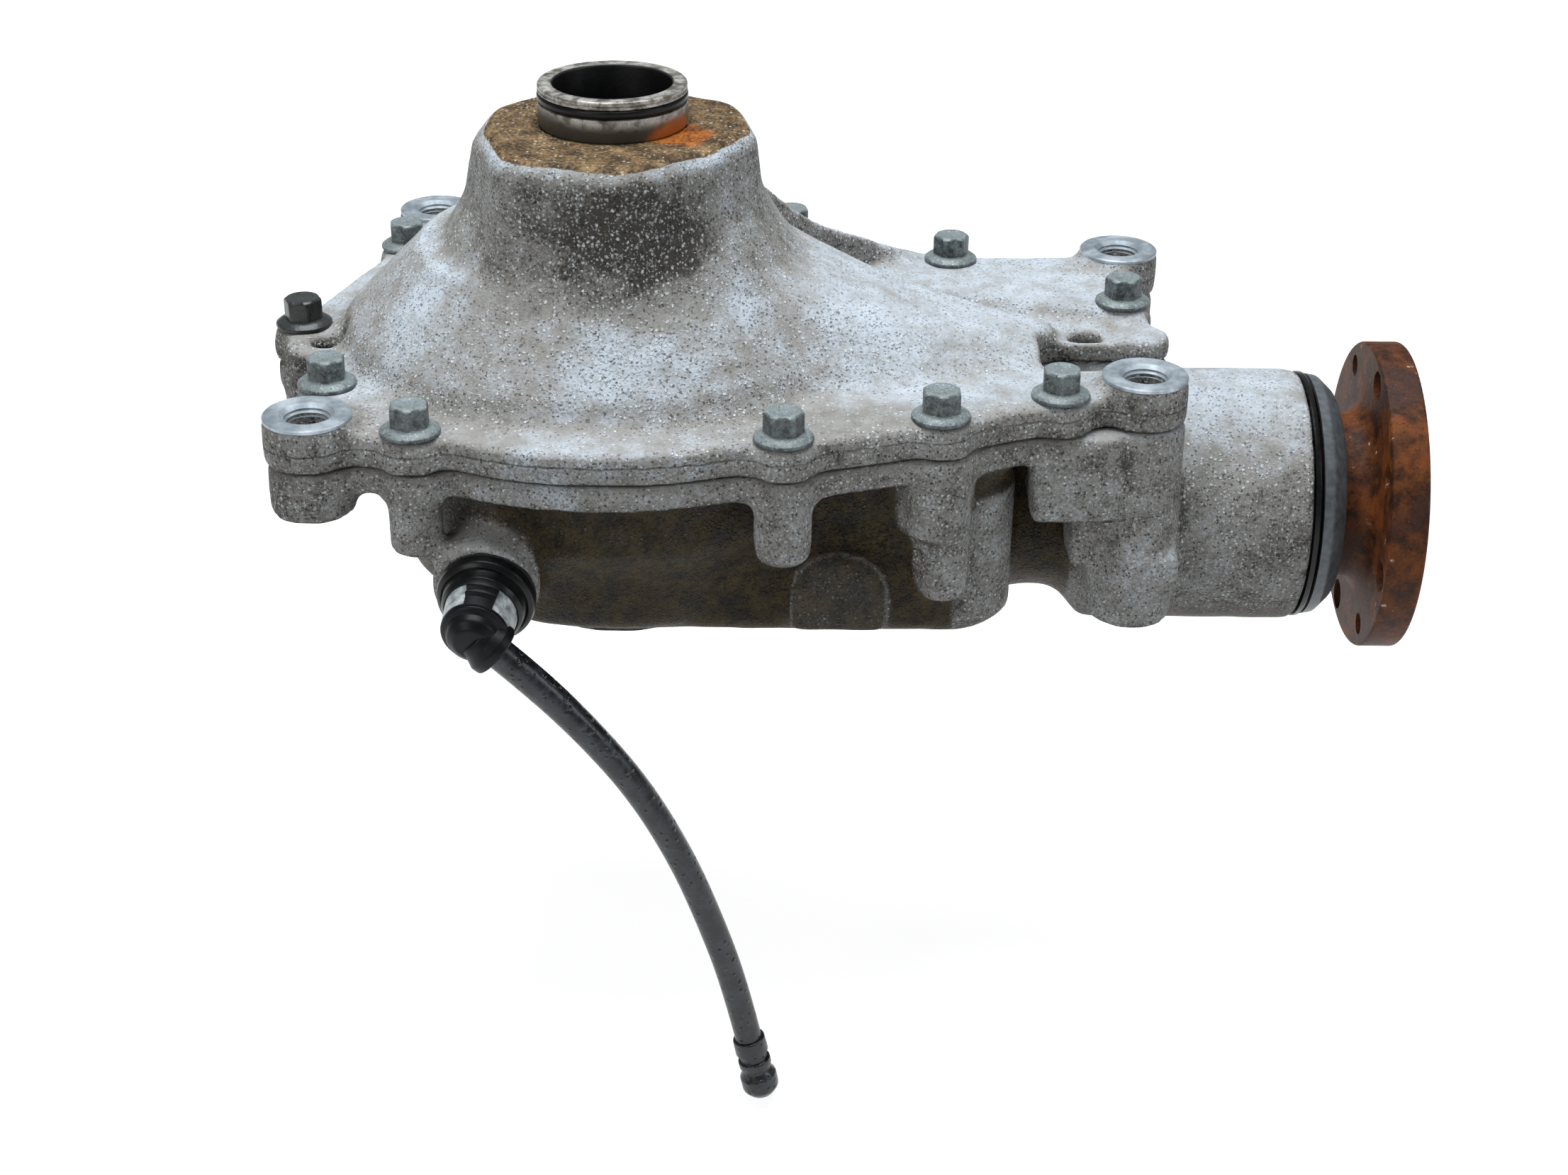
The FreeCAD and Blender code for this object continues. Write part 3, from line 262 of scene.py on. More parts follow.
def cast_alloy():
    """Weathered cast aluminium: salt and pits, dirt and rust on the neck, and dark oily deposits below the
    flange; tops painted lighter and bluish as painted light, and undersides, hollows and recesses painted
    darker as painted shade.
    """
    paint = Paint("cast_alloy")
    up, hollow, oil_and_shade = paint.attribute("surface")
    tone_and_light, dirt, rust = paint.attribute("weather_and_light")
    shaken = paint.shaken(1.2, 1.4)
    broad = paint.noise(36.0, 3.0, 0.55)
    patch = paint.noise(9.0, 4.0, 0.62)
    grain = paint.noise(1.3, 3.0, 0.7)
    coarse, chance = paint.grains(1.7, shaken)
    fine, luck = paint.grains(1.0, shaken)
    side = 1.0 - up * 0.62
    dense = (side + (broad - 0.5) * 1.1 + (patch - 0.5) * 0.9).clamped()
    salt = (1.0 - coarse.step(0.18, 0.46)) * (chance[0] + dense * 0.62).step(0.93, 1.05)
    salt = salt * (0.55 + chance[1] * 0.45)
    dust = (1.0 - fine.step(0.20, 0.48)) * (luck[0] + dense * 0.70).step(0.93, 1.05)
    dust = dust * (0.40 + luck[1] * 0.5)
    pits = (1.0 - fine.step(0.25, 0.60)) * (luck[2] + dense * 0.62).step(0.95, 1.05)
    pits = pits * (0.35 + dense * 0.5)

    blotches = (patch - 0.5) * (side * 0.7 + 0.3) + (broad - 0.5) * 0.5 + (grain - 0.5) * 1.1 * side
    # Hollows darkened: painted shade in the inner corners.
    shade = tone_and_light + blotches - hollow * 0.22
    # Warm grey for the darker values and pale bluish for the lightest, so that faces turned to the lamps
    # carry painted light.
    warm = paint.mix(shade.step(0.0, 0.55), srgb(70, 67, 62), srgb(156, 154, 150))
    colour = paint.mix(shade.step(0.45, 1.0), warm, srgb(204, 215, 226))
    colour = paint.mix(pits, colour, srgb(42, 40, 37))
    colour = paint.mix(dust, colour, srgb(200, 204, 206))
    colour = paint.mix(salt, colour, srgb(228, 232, 234))

    # Dark oily brown, used for real oily deposits and as painted shade under the flange, in recesses and on
    # faces that look down.
    oil_and_shade_colour = paint.mix(paint.noise(7.0, 4.0, 0.7).step(0.35, 0.65), srgb(22, 17, 8), srgb(64, 53, 28))
    oil_and_shade_colour = paint.mix((salt + dust * 0.6) * 0.4 * (1.15 - oil_and_shade).clamped(), oil_and_shade_colour, srgb(150, 140, 118))
    # Share of that dark colour: oily deposits together with painted shade.
    oil_and_shade_share = (oil_and_shade * 1.25 + (patch - 0.5) * 0.5 + (grain - 0.5) * 0.4 - 0.15).step(0.0, 0.9)
    colour = paint.mix(oil_and_shade_share, colour, oil_and_shade_colour)

    values = {"Vector": paint.place, "Scale": 120.0, "Distortion": 9.0, "Detail": 4.0, "Detail Scale": 3.0}
    rings = paint.node("ShaderNodeTexWave", {"wave_type": "RINGS", "rings_direction": "Z"}, values)
    crust = paint.mix((patch * 0.9 + grain * 0.7 + rings * 0.10 - 0.40).step(0.25, 0.75),
                      srgb(56, 44, 32), srgb(160, 132, 94))
    crust = paint.mix(pits, crust, srgb(30, 25, 20))
    crust = paint.mix(salt * 0.8, crust, srgb(222, 214, 198))
    settled = (dirt * 1.3 + (patch - 0.5) * 1.5 + (grain - 0.5) * 0.8 - 0.2).step(0.30, 0.60)
    colour = paint.mix(settled, colour, crust)
    orange = paint.mix((grain + patch - 0.5).step(0.2, 0.8), srgb(66, 36, 18), srgb(190, 112, 42))
    running = (rust * 1.3 + (patch - 0.5) * 1.3 + (grain - 0.5) * 0.5 - 0.25).step(0.1, 0.7)
    colour = paint.mix(running, colour, orange)

    wander = paint.level() + (patch - 0.5) * 2.4 + (grain - 0.5) * 0.8
    seam = 1.0 - (wander - JOINT).size().step(0.25, 0.80)
    ledge = 1.0 - (wander - RIDGE).size().step(0.10, 0.45)
    lines = (seam + ledge * 0.75).clamped() * (1.0 - up * 2.0).clamped() * patch.step(0.30, 0.50)
    colour = paint.mix(lines * 0.85, colour, srgb(30, 27, 24))
    relief = grain * 0.45 + salt * 0.7 + dust * 0.4 - pits * 0.5 + patch * 0.5
    normal = paint.bump(relief * (side + 0.6) - lines * 1.2, 0.55)
    roughness = 0.6 + dust * 0.2 - oil_and_shade_share * 0.12
    return paint.finish(base_color=colour, roughness=roughness, metallic=0.0, normal=normal, specular=0.2)


def spigot_steel():
    """Turned steel: nearly black inside the bore as painted shade, stained lip, dirt and rust where it meets
    the neck, and darker on the left below the ring.
    """
    paint = Paint("turned_steel")
    inside, dirt, rust = paint.attribute("surface")
    patch = paint.noise(5.0, 4.0, 0.7)
    fine = paint.noise(0.9, 3.0, 0.7)
    colour = paint.mix(patch.step(0.35, 0.65), srgb(104, 98, 88), srgb(206, 204, 198))
    colour = paint.mix(fine.step(0.60, 0.70) * 0.6, colour, srgb(60, 52, 44))
    clean = 1.0 - (dirt * 1.2 + (patch - 0.5) * 0.8).step(0.15, 0.7)
    colour = paint.mix(clean, srgb(58, 52, 44), colour)
    colour = paint.mix((rust * 1.3 + (patch - 0.5) * 0.6).step(0.2, 0.8), colour, srgb(168, 92, 34))
    # The bore painted nearly black: painted shade.
    colour = paint.mix(inside, colour, srgb(9, 9, 11))
    metallic = clean * 0.45 * (1.0 - inside)
    normal = paint.bump(fine * 0.5 + patch * 0.5, 0.12)
    return paint.finish(base_color=colour, metallic=metallic, roughness=0.28 + patch * 0.25, normal=normal)


def machined():
    """Freshly faced aluminium with turning marks, darkened down the threaded holes as painted shade."""
    paint = Paint("machined_alloy")
    radius, depth, _ = paint.attribute("surface")
    values = {"W": radius * 400.0, "Scale": 1.0, "Detail": 2.0}
    marks = paint.node("ShaderNodeTexNoise", {"noise_dimensions": "1D"}, values)
    patch = paint.noise(6.0, 3.0, 0.6)
    colour = paint.mix(patch.step(0.30, 0.75), srgb(150, 162, 171), srgb(204, 214, 222))
    # Darker deeper in the holes: painted shade.
    colour = paint.mix(depth, colour, srgb(34, 38, 44))
    normal = paint.bump(marks, 0.06)
    return paint.finish(base_color=colour, metallic=0.5, roughness=0.3 + patch * 0.2, normal=normal)


def zinc():
    """Zinc-plated bolt: whitish white rust, lighter on top and darker on the flats partly as painted light
    and shade, one of them dark and wet all over.
    """
    paint = Paint("zinc_plate")
    up, wet, _ = paint.attribute("surface")
    patch = paint.noise(3.0, 4.0, 0.7)
    fine = paint.noise(0.8, 3.0, 0.65)
    # Lighter on faces that look up: real white rust and painted light together.
    bloom_and_light = (up * 0.8 + patch * 2.4 - 0.95).clamped()
    colour = paint.mix(bloom_and_light, srgb(50, 54, 54), srgb(134, 145, 147))
    colour = paint.mix(fine.step(0.58, 0.68) * (0.25 + up * 0.5), colour, srgb(214, 222, 222))
    colour = paint.mix(fine.step(0.30, 0.40), srgb(40, 42, 40), colour)
    colour = paint.mix(wet * 0.85, colour, srgb(26, 26, 25))
    normal = paint.bump(patch * 0.6 + fine * 0.5, 0.18)
    return paint.finish(base_color=colour, metallic=0.15, roughness=0.46 - wet * 0.2, normal=normal)


def rust():
    """Light rust over forged steel, with dark and purple patches and a few bright specks."""
    paint = Paint("rusted_forging")
    broad = paint.noise(26.0, 3.0, 0.6)
    patch = paint.noise(6.0, 5.0, 0.7)
    fine = paint.noise(1.0, 3.0, 0.7)
    _, chance = paint.grains(1.2, paint.shaken(1.0, 1.0))
    colour = paint.mix(patch.step(0.34, 0.66), srgb(48, 28, 18), srgb(106, 60, 30))
    colour = paint.mix(broad.step(0.50, 0.66) * 0.75, colour, srgb(64, 44, 40))
    colour = paint.mix((1.0 - broad.step(0.34, 0.46)) * 0.6, colour, srgb(140, 78, 34))
    colour = paint.mix(fine.step(0.60, 0.72) * 0.45, colour, srgb(146, 88, 48))
    colour = paint.mix((1.0 - fine.step(0.34, 0.44)) * 0.6, colour, srgb(32, 20, 15))
    sparks = (chance[0] + patch * 0.35).step(1.18, 1.22)
    colour = paint.mix(sparks * 0.7, colour, srgb(226, 214, 196))
    normal = paint.bump(patch * 0.5 + fine * 0.5, 0.3)
    roughness = 0.68 - fine * 0.2
    return paint.finish(base_color=colour, metallic=0.0, roughness=roughness, normal=normal, specular=0.2)


def plain(name, dark, light, roughness, metallic=0.0, size=3.0, depth=0.05, specular=0.5):
    """A nearly even finish with slight mottling and grain."""
    paint = Paint(name)
    patch = paint.noise(size, 4.0, 0.6)
    colour = paint.mix(patch.step(0.3, 0.7), dark, light)
    normal = paint.bump(paint.noise(size * 0.2, 2.0, 0.6), depth)
    uneven = roughness + (patch - 0.5) * 0.15
    return paint.finish(base_color=colour, metallic=metallic, roughness=uneven, normal=normal,
                        specular=specular)


# Mesh making

def grid_faces(rows, columns, wrap_rows=False, wrap_columns=True):
    """Quads of a grid whose point (i, j) has the index i * columns + j."""
    i = np.arange(rows if wrap_rows else rows - 1)
    j = np.arange(columns if wrap_columns else columns - 1)
    i, j = (part.ravel() for part in np.meshgrid(i, j, indexing="ij"))
    ahead, aside = (i + 1) % rows, (j + 1) % columns
    return np.stack([i * columns + j, i * columns + aside, ahead * columns + aside, ahead * columns + j], -1)


def rounded(corners, steps=5):
    """Polyline of corners (u, v) or (u, v, radius), each radius an arc: centre + radius (cos t, sin t)."""
    points = []
    count = len(corners)
    for i, corner in enumerate(corners):
        here = np.array(corner[:2], float)
        if len(corner) < 3 or i in (0, count - 1):
            points.append(here)
            continue
        back = np.array(corners[i - 1][:2], float) - here
        ahead = np.array(corners[(i + 1) % count][:2], float) - here
        reach_limit = 0.49 * min(np.linalg.norm(back), np.linalg.norm(ahead))
        back /= np.linalg.norm(back)
        ahead /= np.linalg.norm(ahead)
        half = math.acos(float(np.clip(back @ ahead, -1.0, 1.0))) / 2
        reach = min(corner[2] / math.tan(half), reach_limit)
        radius = reach * math.tan(half)
        centre = here + (back + ahead) / np.linalg.norm(back + ahead) * (radius / math.sin(half))
        first = here + back * reach - centre
        last = here + ahead * reach - centre
        share = np.linspace(0.0, 1.0, steps + 1)[:, None]
        sweep = math.pi - 2 * half
        arc = (first * np.sin((1 - share) * sweep) + last * np.sin(share * sweep)) / math.sin(sweep)
        points.extend(centre + arc)
    return np.array(points)


def lathe(profile, steps=96):
    """Surface of revolution: (r, h) at the angle t is (r cos t, r sin t, h)."""
    turn = np.arange(steps) * 2 * math.pi / steps
    radius, height = profile[:, 0, None], profile[:, 1, None]
    flat = np.zeros((1, steps))
    return np.stack([radius * np.cos(turn), radius * np.sin(turn), height + flat], -1)


def frame_of(axis):
    """Three unit columns, the last along the axis."""
    axis = np.asarray(axis, float) / np.linalg.norm(axis)
    side = np.cross((0.0, 0.0, 1.0), axis)
    if np.linalg.norm(side) < 1e-6:
        side = np.array([1.0, 0.0, 0.0])
    side /= np.linalg.norm(side)
    return np.stack([side, np.cross(axis, side), axis], -1)


def set_on(points, origin, axis=(0.0, 0.0, 1.0)):
    """Points made about +Z, moved so that their Z runs along an axis from an origin."""
    return points @ frame_of(axis).T + np.asarray(origin, float)


def carry(mesh, values, name="surface"):
    """Keep three numbers for each point, for the materials."""
    layer = mesh.attributes.new(name, "FLOAT_COLOR", "POINT")
    full = np.ones((len(mesh.vertices), 4), np.float32)
    full[:, :3] = values
    layer.data.foreach_set("color", full.ravel())


def normals_of(mesh):
    """Unit normals at the mesh's points."""
    normals = np.zeros(len(mesh.vertices) * 3, np.float32)
    mesh.vertex_normals.foreach_get("vector", normals)
    return normals.reshape(-1, 3)


def points_of(mesh):
    """The mesh's points as (x, y, height) in millimetres."""
    flat = np.zeros(len(mesh.vertices) * 3, np.float32)
    mesh.vertices.foreach_get("co", flat)
    return flat.reshape(-1, 3).astype(float) / MM + (0.0, 0.0, NECK_HEIGHT)


def piece(name, sheets, body, material, stands_for=(), values=None, sharp=None):
    """One object out of grids (points, wrap_rows, wrap_columns), with points that coincide joined."""
    points, faces, count = [], [], 0
    for grid, wrap_rows, wrap_columns in sheets:
        rows, columns = grid.shape[:2]
        faces.append(grid_faces(rows, columns, wrap_rows, wrap_columns) + count)
        points.append(grid.reshape(-1, 3))
        count += rows * columns
    mesh = bpy.data.meshes.new(name)
    mesh.from_pydata(metres(np.concatenate(points)).tolist(), [], np.concatenate(faces).tolist())
    shape = bmesh.new()
    shape.from_mesh(mesh)
    bmesh.ops.remove_doubles(shape, verts=shape.verts, dist=1e-6)
    bmesh.ops.recalc_face_normals(shape, faces=shape.faces)
    shape.to_mesh(mesh)
    shape.free()
    return dress(name, mesh, body, material, stands_for, values, sharp)


def dress(name, mesh, body, material, stands_for=(), values=None, sharp=None):
    """Object for a mesh, smooth-shaded, with its material and body."""
    mesh.shade_smooth()
    if sharp is not None:
        mesh.set_sharp_from_angle(angle=math.radians(sharp))
    mesh.materials.clear()
    mesh.materials.append(material)
    if values is not None:
        carry(mesh, values(points_of(mesh), normals_of(mesh)))
    shape = bpy.data.objects.new(name, mesh)
    bpy.context.scene.collection.objects.link(shape)
    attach(shape, body)
    if stands_for:
        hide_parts(*stands_for)
    return shape


def welded(node):
    """Copy of a node's mesh with its loose triangles joined."""
    mesh = nodes[node].data.copy()
    shape = bmesh.new()
    shape.from_mesh(mesh)
    bmesh.ops.remove_doubles(shape, verts=shape.verts, dist=1e-6)
    shape.to_mesh(mesh)
    shape.free()
    return mesh


# Castings

def remeshed(mesh, voxel):
    """Even quads over a closed mesh, one voxel apart, in millimetres."""
    carrier = bpy.data.objects.new("blank", mesh)
    bpy.context.scene.collection.objects.link(carrier)
    skin = carrier.modifiers.new("skin", "REMESH")
    skin.mode = "VOXEL"
    skin.voxel_size = voxel * MM
    skin.use_smooth_shade = True
    made = bpy.data.meshes.new_from_object(carrier.evaluated_get(bpy.context.evaluated_depsgraph_get()))
    bpy.data.objects.remove(carrier)
    return made


def relaxed(mesh, rounds, fillets):
    """Points drawn towards the mean of their neighbours, and further where the surface is hollow."""
    points = points_of(mesh)
    pairs = np.zeros(len(mesh.edges) * 2, np.int32)
    mesh.edges.foreach_get("vertices", pairs)
    pairs = pairs.reshape(-1, 2)
    near = np.concatenate([pairs[:, 0], pairs[:, 1]])
    far = np.concatenate([pairs[:, 1], pairs[:, 0]])
    degree = np.maximum(np.bincount(near, minlength=len(points)), 1)[:, None]

    def drift(values):
        total = np.stack([np.bincount(near, values[far, k], len(points)) for k in range(3)], -1)
        return total / degree - values

    for _ in range(rounds):
        points = points + 0.5 * drift(points)
    start = points
    normal = normals_of(mesh)
    for _ in range(fillets):
        pull = drift(points)
        hollow = np.einsum("ij,ij->i", pull, normal)
        points = points + pull * np.where(hollow > 0.0, 0.6, 0.06)[:, None]
    depth = np.einsum("ij,ij->i", points - start, normal)
    for _ in range(2):
        points = points + 0.4 * drift(points)
    return points, np.maximum(depth, 0.0)


def lumps(points, size, seed):
    """Sum of sines in random directions, between about -1 and 1: the unevenness of a sand casting."""
    rng = np.random.default_rng(seed)
    total = np.zeros(len(points))
    for _ in range(14):
        wave = rng.normal(size=3)
        wave *= 2 * math.pi / (size * rng.uniform(0.6, 1.8)) / np.linalg.norm(wave)
        total += np.sin(points @ wave + rng.uniform(0, 2 * math.pi))
    return total / 6.0


COVER_VOXEL = 1.6
HOUSING_VOXEL = 1.8
EVEN_ROUNDS = 3
FILLET_ROUNDS = 26
FULL_HOLLOW = 1.5


def casting(name, node, voxel, oil_and_shade_of):
    """A rough casting: the node's form remeshed, its inner corners filleted and its faces made uneven."""
    mesh = remeshed(welded(node), voxel)
    points, hollow = relaxed(mesh, EVEN_ROUNDS, FILLET_ROUNDS)
    mesh.vertices.foreach_set("co", metres(points).ravel().astype(np.float32))
    mesh.update()
    points += normals_of(mesh) * (0.10 * lumps(points, 7.0, 3) + 0.14 * lumps(points, 22.0, 5))[:, None]
    mesh.vertices.foreach_set("co", metres(points).ravel().astype(np.float32))
    mesh.update()

    def surface(places, normals):
        up = np.clip(normals[:, 2], 0.0, 1.0)
        return np.stack([up, np.clip(hollow / FULL_HOLLOW, 0.0, 1.0), oil_and_shade_of(places, normals)], -1)

    carry(mesh, weathering_and_light(points_of(mesh), normals_of(mesh)), "weather_and_light")
    return dress(name, mesh, "housing", alloy, (node,), surface)


def smooth(value, low, high):
    """Smooth step of an array: 0 below low, 1 above high."""
    share = np.clip((value - low) / (high - low), 0.0, 1.0)
    return share * share * (3.0 - 2.0 * share)


# Lighter (+) and darker (-) patches of the castings: x, y, height, reach and strength
PATCHES = (
    (-65.0, -41.0, 27.0, 9.0, 0.30), (-37.0, -73.0, 19.0, 12.0, -0.12), (-41.0, -41.0, 59.0, 9.0, 0.12),
    (-28.0, -51.0, 66.0, 6.0, -0.20), (12.0, -60.0, 62.0, 12.0, -0.38), (26.0, -50.0, 50.0, 9.0, -0.38),
    (2.0, -65.0, 40.0, 14.0, -0.18), (-5.0, -58.0, 66.0, 12.0, -0.18), (40.0, -35.0, 58.0, 8.0, 0.18),
    (46.0, -51.0, 32.0, 9.0, 0.25), (5.0, -82.0, 18.0, 14.0, 0.15), (97.0, -37.0, 14.0, 16.0, 0.14),
    (61.0, -41.0, 29.0, 6.0, -0.12), (-75.0, -55.0, 12.0, 8.0, 0.12), (-108.0, -108.0, -22.0, 14.0, -0.16),
    (-120.0, -14.0, -8.0, 16.0, -0.30), (192.0, -68.0, -66.0, 8.0, 0.25), (-8.0, -114.0, -6.0, 24.0, 0.20))
NECK_EDGE = 76.8
RUST_START = (25.0, -17.0)
PAD_CENTRE = 83.0


def weathering_and_light(places, normals):
    """Tone of the bare metal, lighter on faces that look up and darker on faces that look down as painted
    light and shade, with lighter and darker patches and a lighter band below the neck's top edge at the
    front; dirt settled on the neck; and rust running from the spigot's foot.
    """
    x, y, height = places.T
    up = normals[:, 2]
    # Faces that look up painted lighter and faces that look down painted darker: painted light and shade.
    tone_and_light = 0.41 + 0.35 * smooth(up, 0.35, 0.95) - 0.22 * smooth(-up, 0.2, 0.8)
    for px, py, level, reach, strength in PATCHES:
        gap = (x - px) ** 2 + (y - py) ** 2 + (height - level) ** 2
        tone_and_light += strength * np.exp(-gap / (2.0 * reach ** 2))
    tone_and_light -= 0.24 * smooth(up, 0.5, 0.9) * (1.0 - smooth(height, 1.5, 5.0)) * smooth(-y, 60.0, 80.0)
    fringe = 0.55 + 0.45 * lumps(places, 14.0, 9)
    tone_and_light += 0.55 * fringe * np.exp(-((height - NECK_EDGE) / 2.4) ** 2) * smooth(-y, 5.0, 30.0)
    dirt = smooth(height, 77.6, 79.6) * smooth(up, 0.5, 0.85)
    run = (x - RUST_START[0]) ** 2 + (y - RUST_START[1]) ** 2
    rust = 1.2 * np.exp(-run / 150.0) * smooth(height, 76.0, 79.0)
    return np.stack([np.clip(tone_and_light, 0.0, 1.0), dirt, rust], -1)


def cover_tint_and_shade(places, normals):
    """A darker tint on the neck's front, and painted shade on the faces that look down."""
    x, y, height = places.T
    front = smooth(-normals[:, 1], 0.3, 0.9) * smooth(height, 36.0, 70.0) * smooth(x, -20.0, 8.0)
    # Faces that look down take the dark colour as painted shade.
    return 0.30 * front * (1.0 - smooth(x, 25.0, 40.0)) + smooth(-normals[:, 2], 0.3, 0.8)


def housing_oil_and_shade(places, normals):
    """Oil and painted shade below the flange: on the bowl, the block and the tunnel, but less on what stands
    proud of them; the tunnel and the faces that look down are painted dark as shade.
    """
    x, y, height = places.T
    low = 1.0 - smooth(height, FLANGE_LOW - 1.5, FLANGE_LOW + 0.5)
    bowl = np.hypot(x, y) - BOWL_RADIUS
    block = np.max([-y - BLOCK_FRONT, x - BLOCK_RIGHT, -x, y - BLOCK_REAR], axis=0)
    # Recessed faces under the flange take the dark colour: oily deposits and painted shade in the recess.
    core = 1.0 - smooth(np.minimum(bowl, block), 0.8, 3.4)
    core *= 1.0 - 0.55 * (1.0 - smooth(x, -66.0, -24.0)) * smooth(height, -70.0, -48.0)
    core *= 1.0 - 0.22 * smooth(height, -48.0, -42.0)
    bare_end = smooth(x, 122.0, 127.0) * (1.0 - smooth(x, 145.0, 149.0))
    core *= 1.0 - 0.85 * bare_end * (1.0 - smooth(height, -37.0, -33.0))
    # The tunnel behind the block painted dark: painted shade.
    around = np.hypot(y, height - PINION_AXIS)
    tunnel = smooth(x, 147.0, 150.0) * (1.0 - smooth(x, 176.0, 180.0)) * (1.0 - smooth(around, 39.0, 42.0))
    pad = smooth(-y, 76.0, 78.5) * (1.0 - smooth(-y, 82.0, 84.0)) * (1.0 - smooth(height, -52.0, -48.0))
    pad *= 1.0 - smooth(abs(x - PAD_CENTRE), 16.0, 19.0)
    # Faces that look down painted dark: painted shade.
    beneath = smooth(-normals[:, 2], 0.45, 0.85)
    return np.clip(np.max([low * core, 0.95 * tunnel, 0.68 * pad, 0.8 * beneath], axis=0), 0.0, 1.0)


aim_camera()
alloy = cast_alloy()
casting("cover_casting", "upper_cover", COVER_VOXEL, cover_tint_and_shade)
casting("housing_casting", "lower_housing", HOUSING_VOXEL, housing_oil_and_shade)

# Machined seats of the four mounting bosses

SEAT = 4.85
SEAT_REACH = 20.0
THREAD_PITCH = 1.5
THREAD_TOP = 2.6
THREAD_TURNS = 14
CREST = 7.35
ROOT = 7.96
crests = [(CREST if k % 2 else ROOT, THREAD_TOP - THREAD_PITCH * k / 2) for k in range(2 * THREAD_TURNS)]
thread_end = THREAD_TOP - THREAD_PITCH * THREAD_TURNS
seat_rim = [(ROOT, 3.3), (9.5, SEAT), (14.9, SEAT), (15.4, SEAT - 0.5), (15.4, 3.4), (9.2, 2.0),
            (9.2, thread_end)]
seat_profile = np.array([(ROOT, thread_end)] + crests[::-1] + seat_rim)


def seat_values(places, normals):
    """Distance from the nearest seat's centre, as a share of its reach, and how deep in the hole, which
    darkens the bore as painted shade.
    """
    reach = np.min([np.hypot(places[:, 0] - x, places[:, 1] - y) for x, y in MOUNTS], axis=0)
    depth = smooth(-places[:, 2], -2.0, 6.0)
    return np.stack([reach / SEAT_REACH, depth, depth * 0], -1)


piece("machined_seats", [(set_on(lathe(seat_profile), (x, y, 0.0)), True, True) for x, y in MOUNTS],
      "housing", machined(), (), seat_values, 25.0)


# Bolts

HEAD_FLATS = 13.0
HEAD_CORNER = 7.25
WET_BOLT = BOLTS[9]
WET_REACH = 12.0
SHANK = np.array([(0.0, 0.4), (4.0, 0.4), (4.0, -29.0), (3.4, -30.0), (0.0, -30.0)])


def hexagon_reach(turn, flats):
    """Distance from a hexagon's centre to its side: half the flats over the cosine from the nearest flat."""
    return flats / 2 / np.cos((turn + math.pi / 6) % (math.pi / 3) - math.pi / 6)


def bolt_grid(centre, turned_by):
    """Flanged hex head: a washer with a sloping top, six flats, and a chamfered crown."""
    steps = 72
    turn = np.arange(steps) * 2 * math.pi / steps
    hexagon = np.minimum(hexagon_reach(turn + turned_by, HEAD_FLATS), HEAD_CORNER)
    washer = [(0.0, 0.0), (9.9, 0.0), (10.45, 0.4), (10.5, 1.0), (10.3, 1.5), (9.2, 2.35), (8.2, 2.9),
              (7.6, 3.1)]
    rows = [(np.full(steps, r), h) for r, h in washer]
    rows += [(hexagon * 0.99, 3.2), (hexagon * 0.985, 3.6), (hexagon * 0.985, 9.8)]
    rows += [(np.minimum(hexagon, limit) * share, h)
             for limit, share, h in [(7.0, 0.975, 10.3), (6.5, 0.93, 10.85), (6.3, 0.85, 11.0)]]
    rows += [(np.full(steps, r), h) for r, h in [(4.4, 11.0), (3.9, 10.75), (0.0, 10.75)]]
    radius = np.array([row[0] for row in rows])
    height = np.array([row[1] for row in rows])[:, None] + np.zeros(steps)
    grid = np.stack([radius * np.cos(turn), radius * np.sin(turn), height], -1)
    return grid + np.array([centre[0], centre[1], 0.0])


def facing(places, normals):
    """How far each point faces up, and whether it belongs to the wet bolt at the far left."""
    wet = np.hypot(places[:, 0] - WET_BOLT[0], places[:, 1] - WET_BOLT[1]) < WET_REACH
    return np.stack([np.clip(normals[:, 2], 0.0, 1.0), wet, wet * 0.0], -1)


spins = np.random.default_rng(4).uniform(0.0, math.pi / 3, len(BOLTS))
bolt_set = piece("flange_bolts", [(bolt_grid(c, s), False, True) for c, s in zip(BOLTS, spins)],
                 "housing", zinc(), (), facing, 30.0)
shanks = [(set_on(lathe(SHANK, 32), (x, y, 0.0)), False, True) for x, y in BOLTS]
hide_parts("cover_bolts")
piece("bolt_shanks", shanks, "housing", bolt_set.data.materials[0], (), facing, 40.0)

# Spigot, O-ring and what shows of the input side

def spigot_values(places, normals):
    """Whether a point is inside the bore, which is painted black as shade; the dirt at the spigot's foot with
    a darker band on its left below the ring; and the rust at its front right.
    """
    x, y, height = places.T
    rise = height - NECK_HEIGHT
    inside = smooth(-np.hypot(x, y), -22.6, -21.9)
    foot = 1.0 - smooth(rise, 0.5, 4.5)
    left = smooth(-x, 8.0, 24.0) * (1.0 - smooth(rise, 6.0, 8.5))
    rust = 1.3 * np.exp(-((x - 24.0) ** 2 + (y + 14.0) ** 2) / 160.0) * (1.0 - smooth(rise, 2.0, 8.0))
    return np.stack([inside, np.maximum(foot, left), rust], -1)


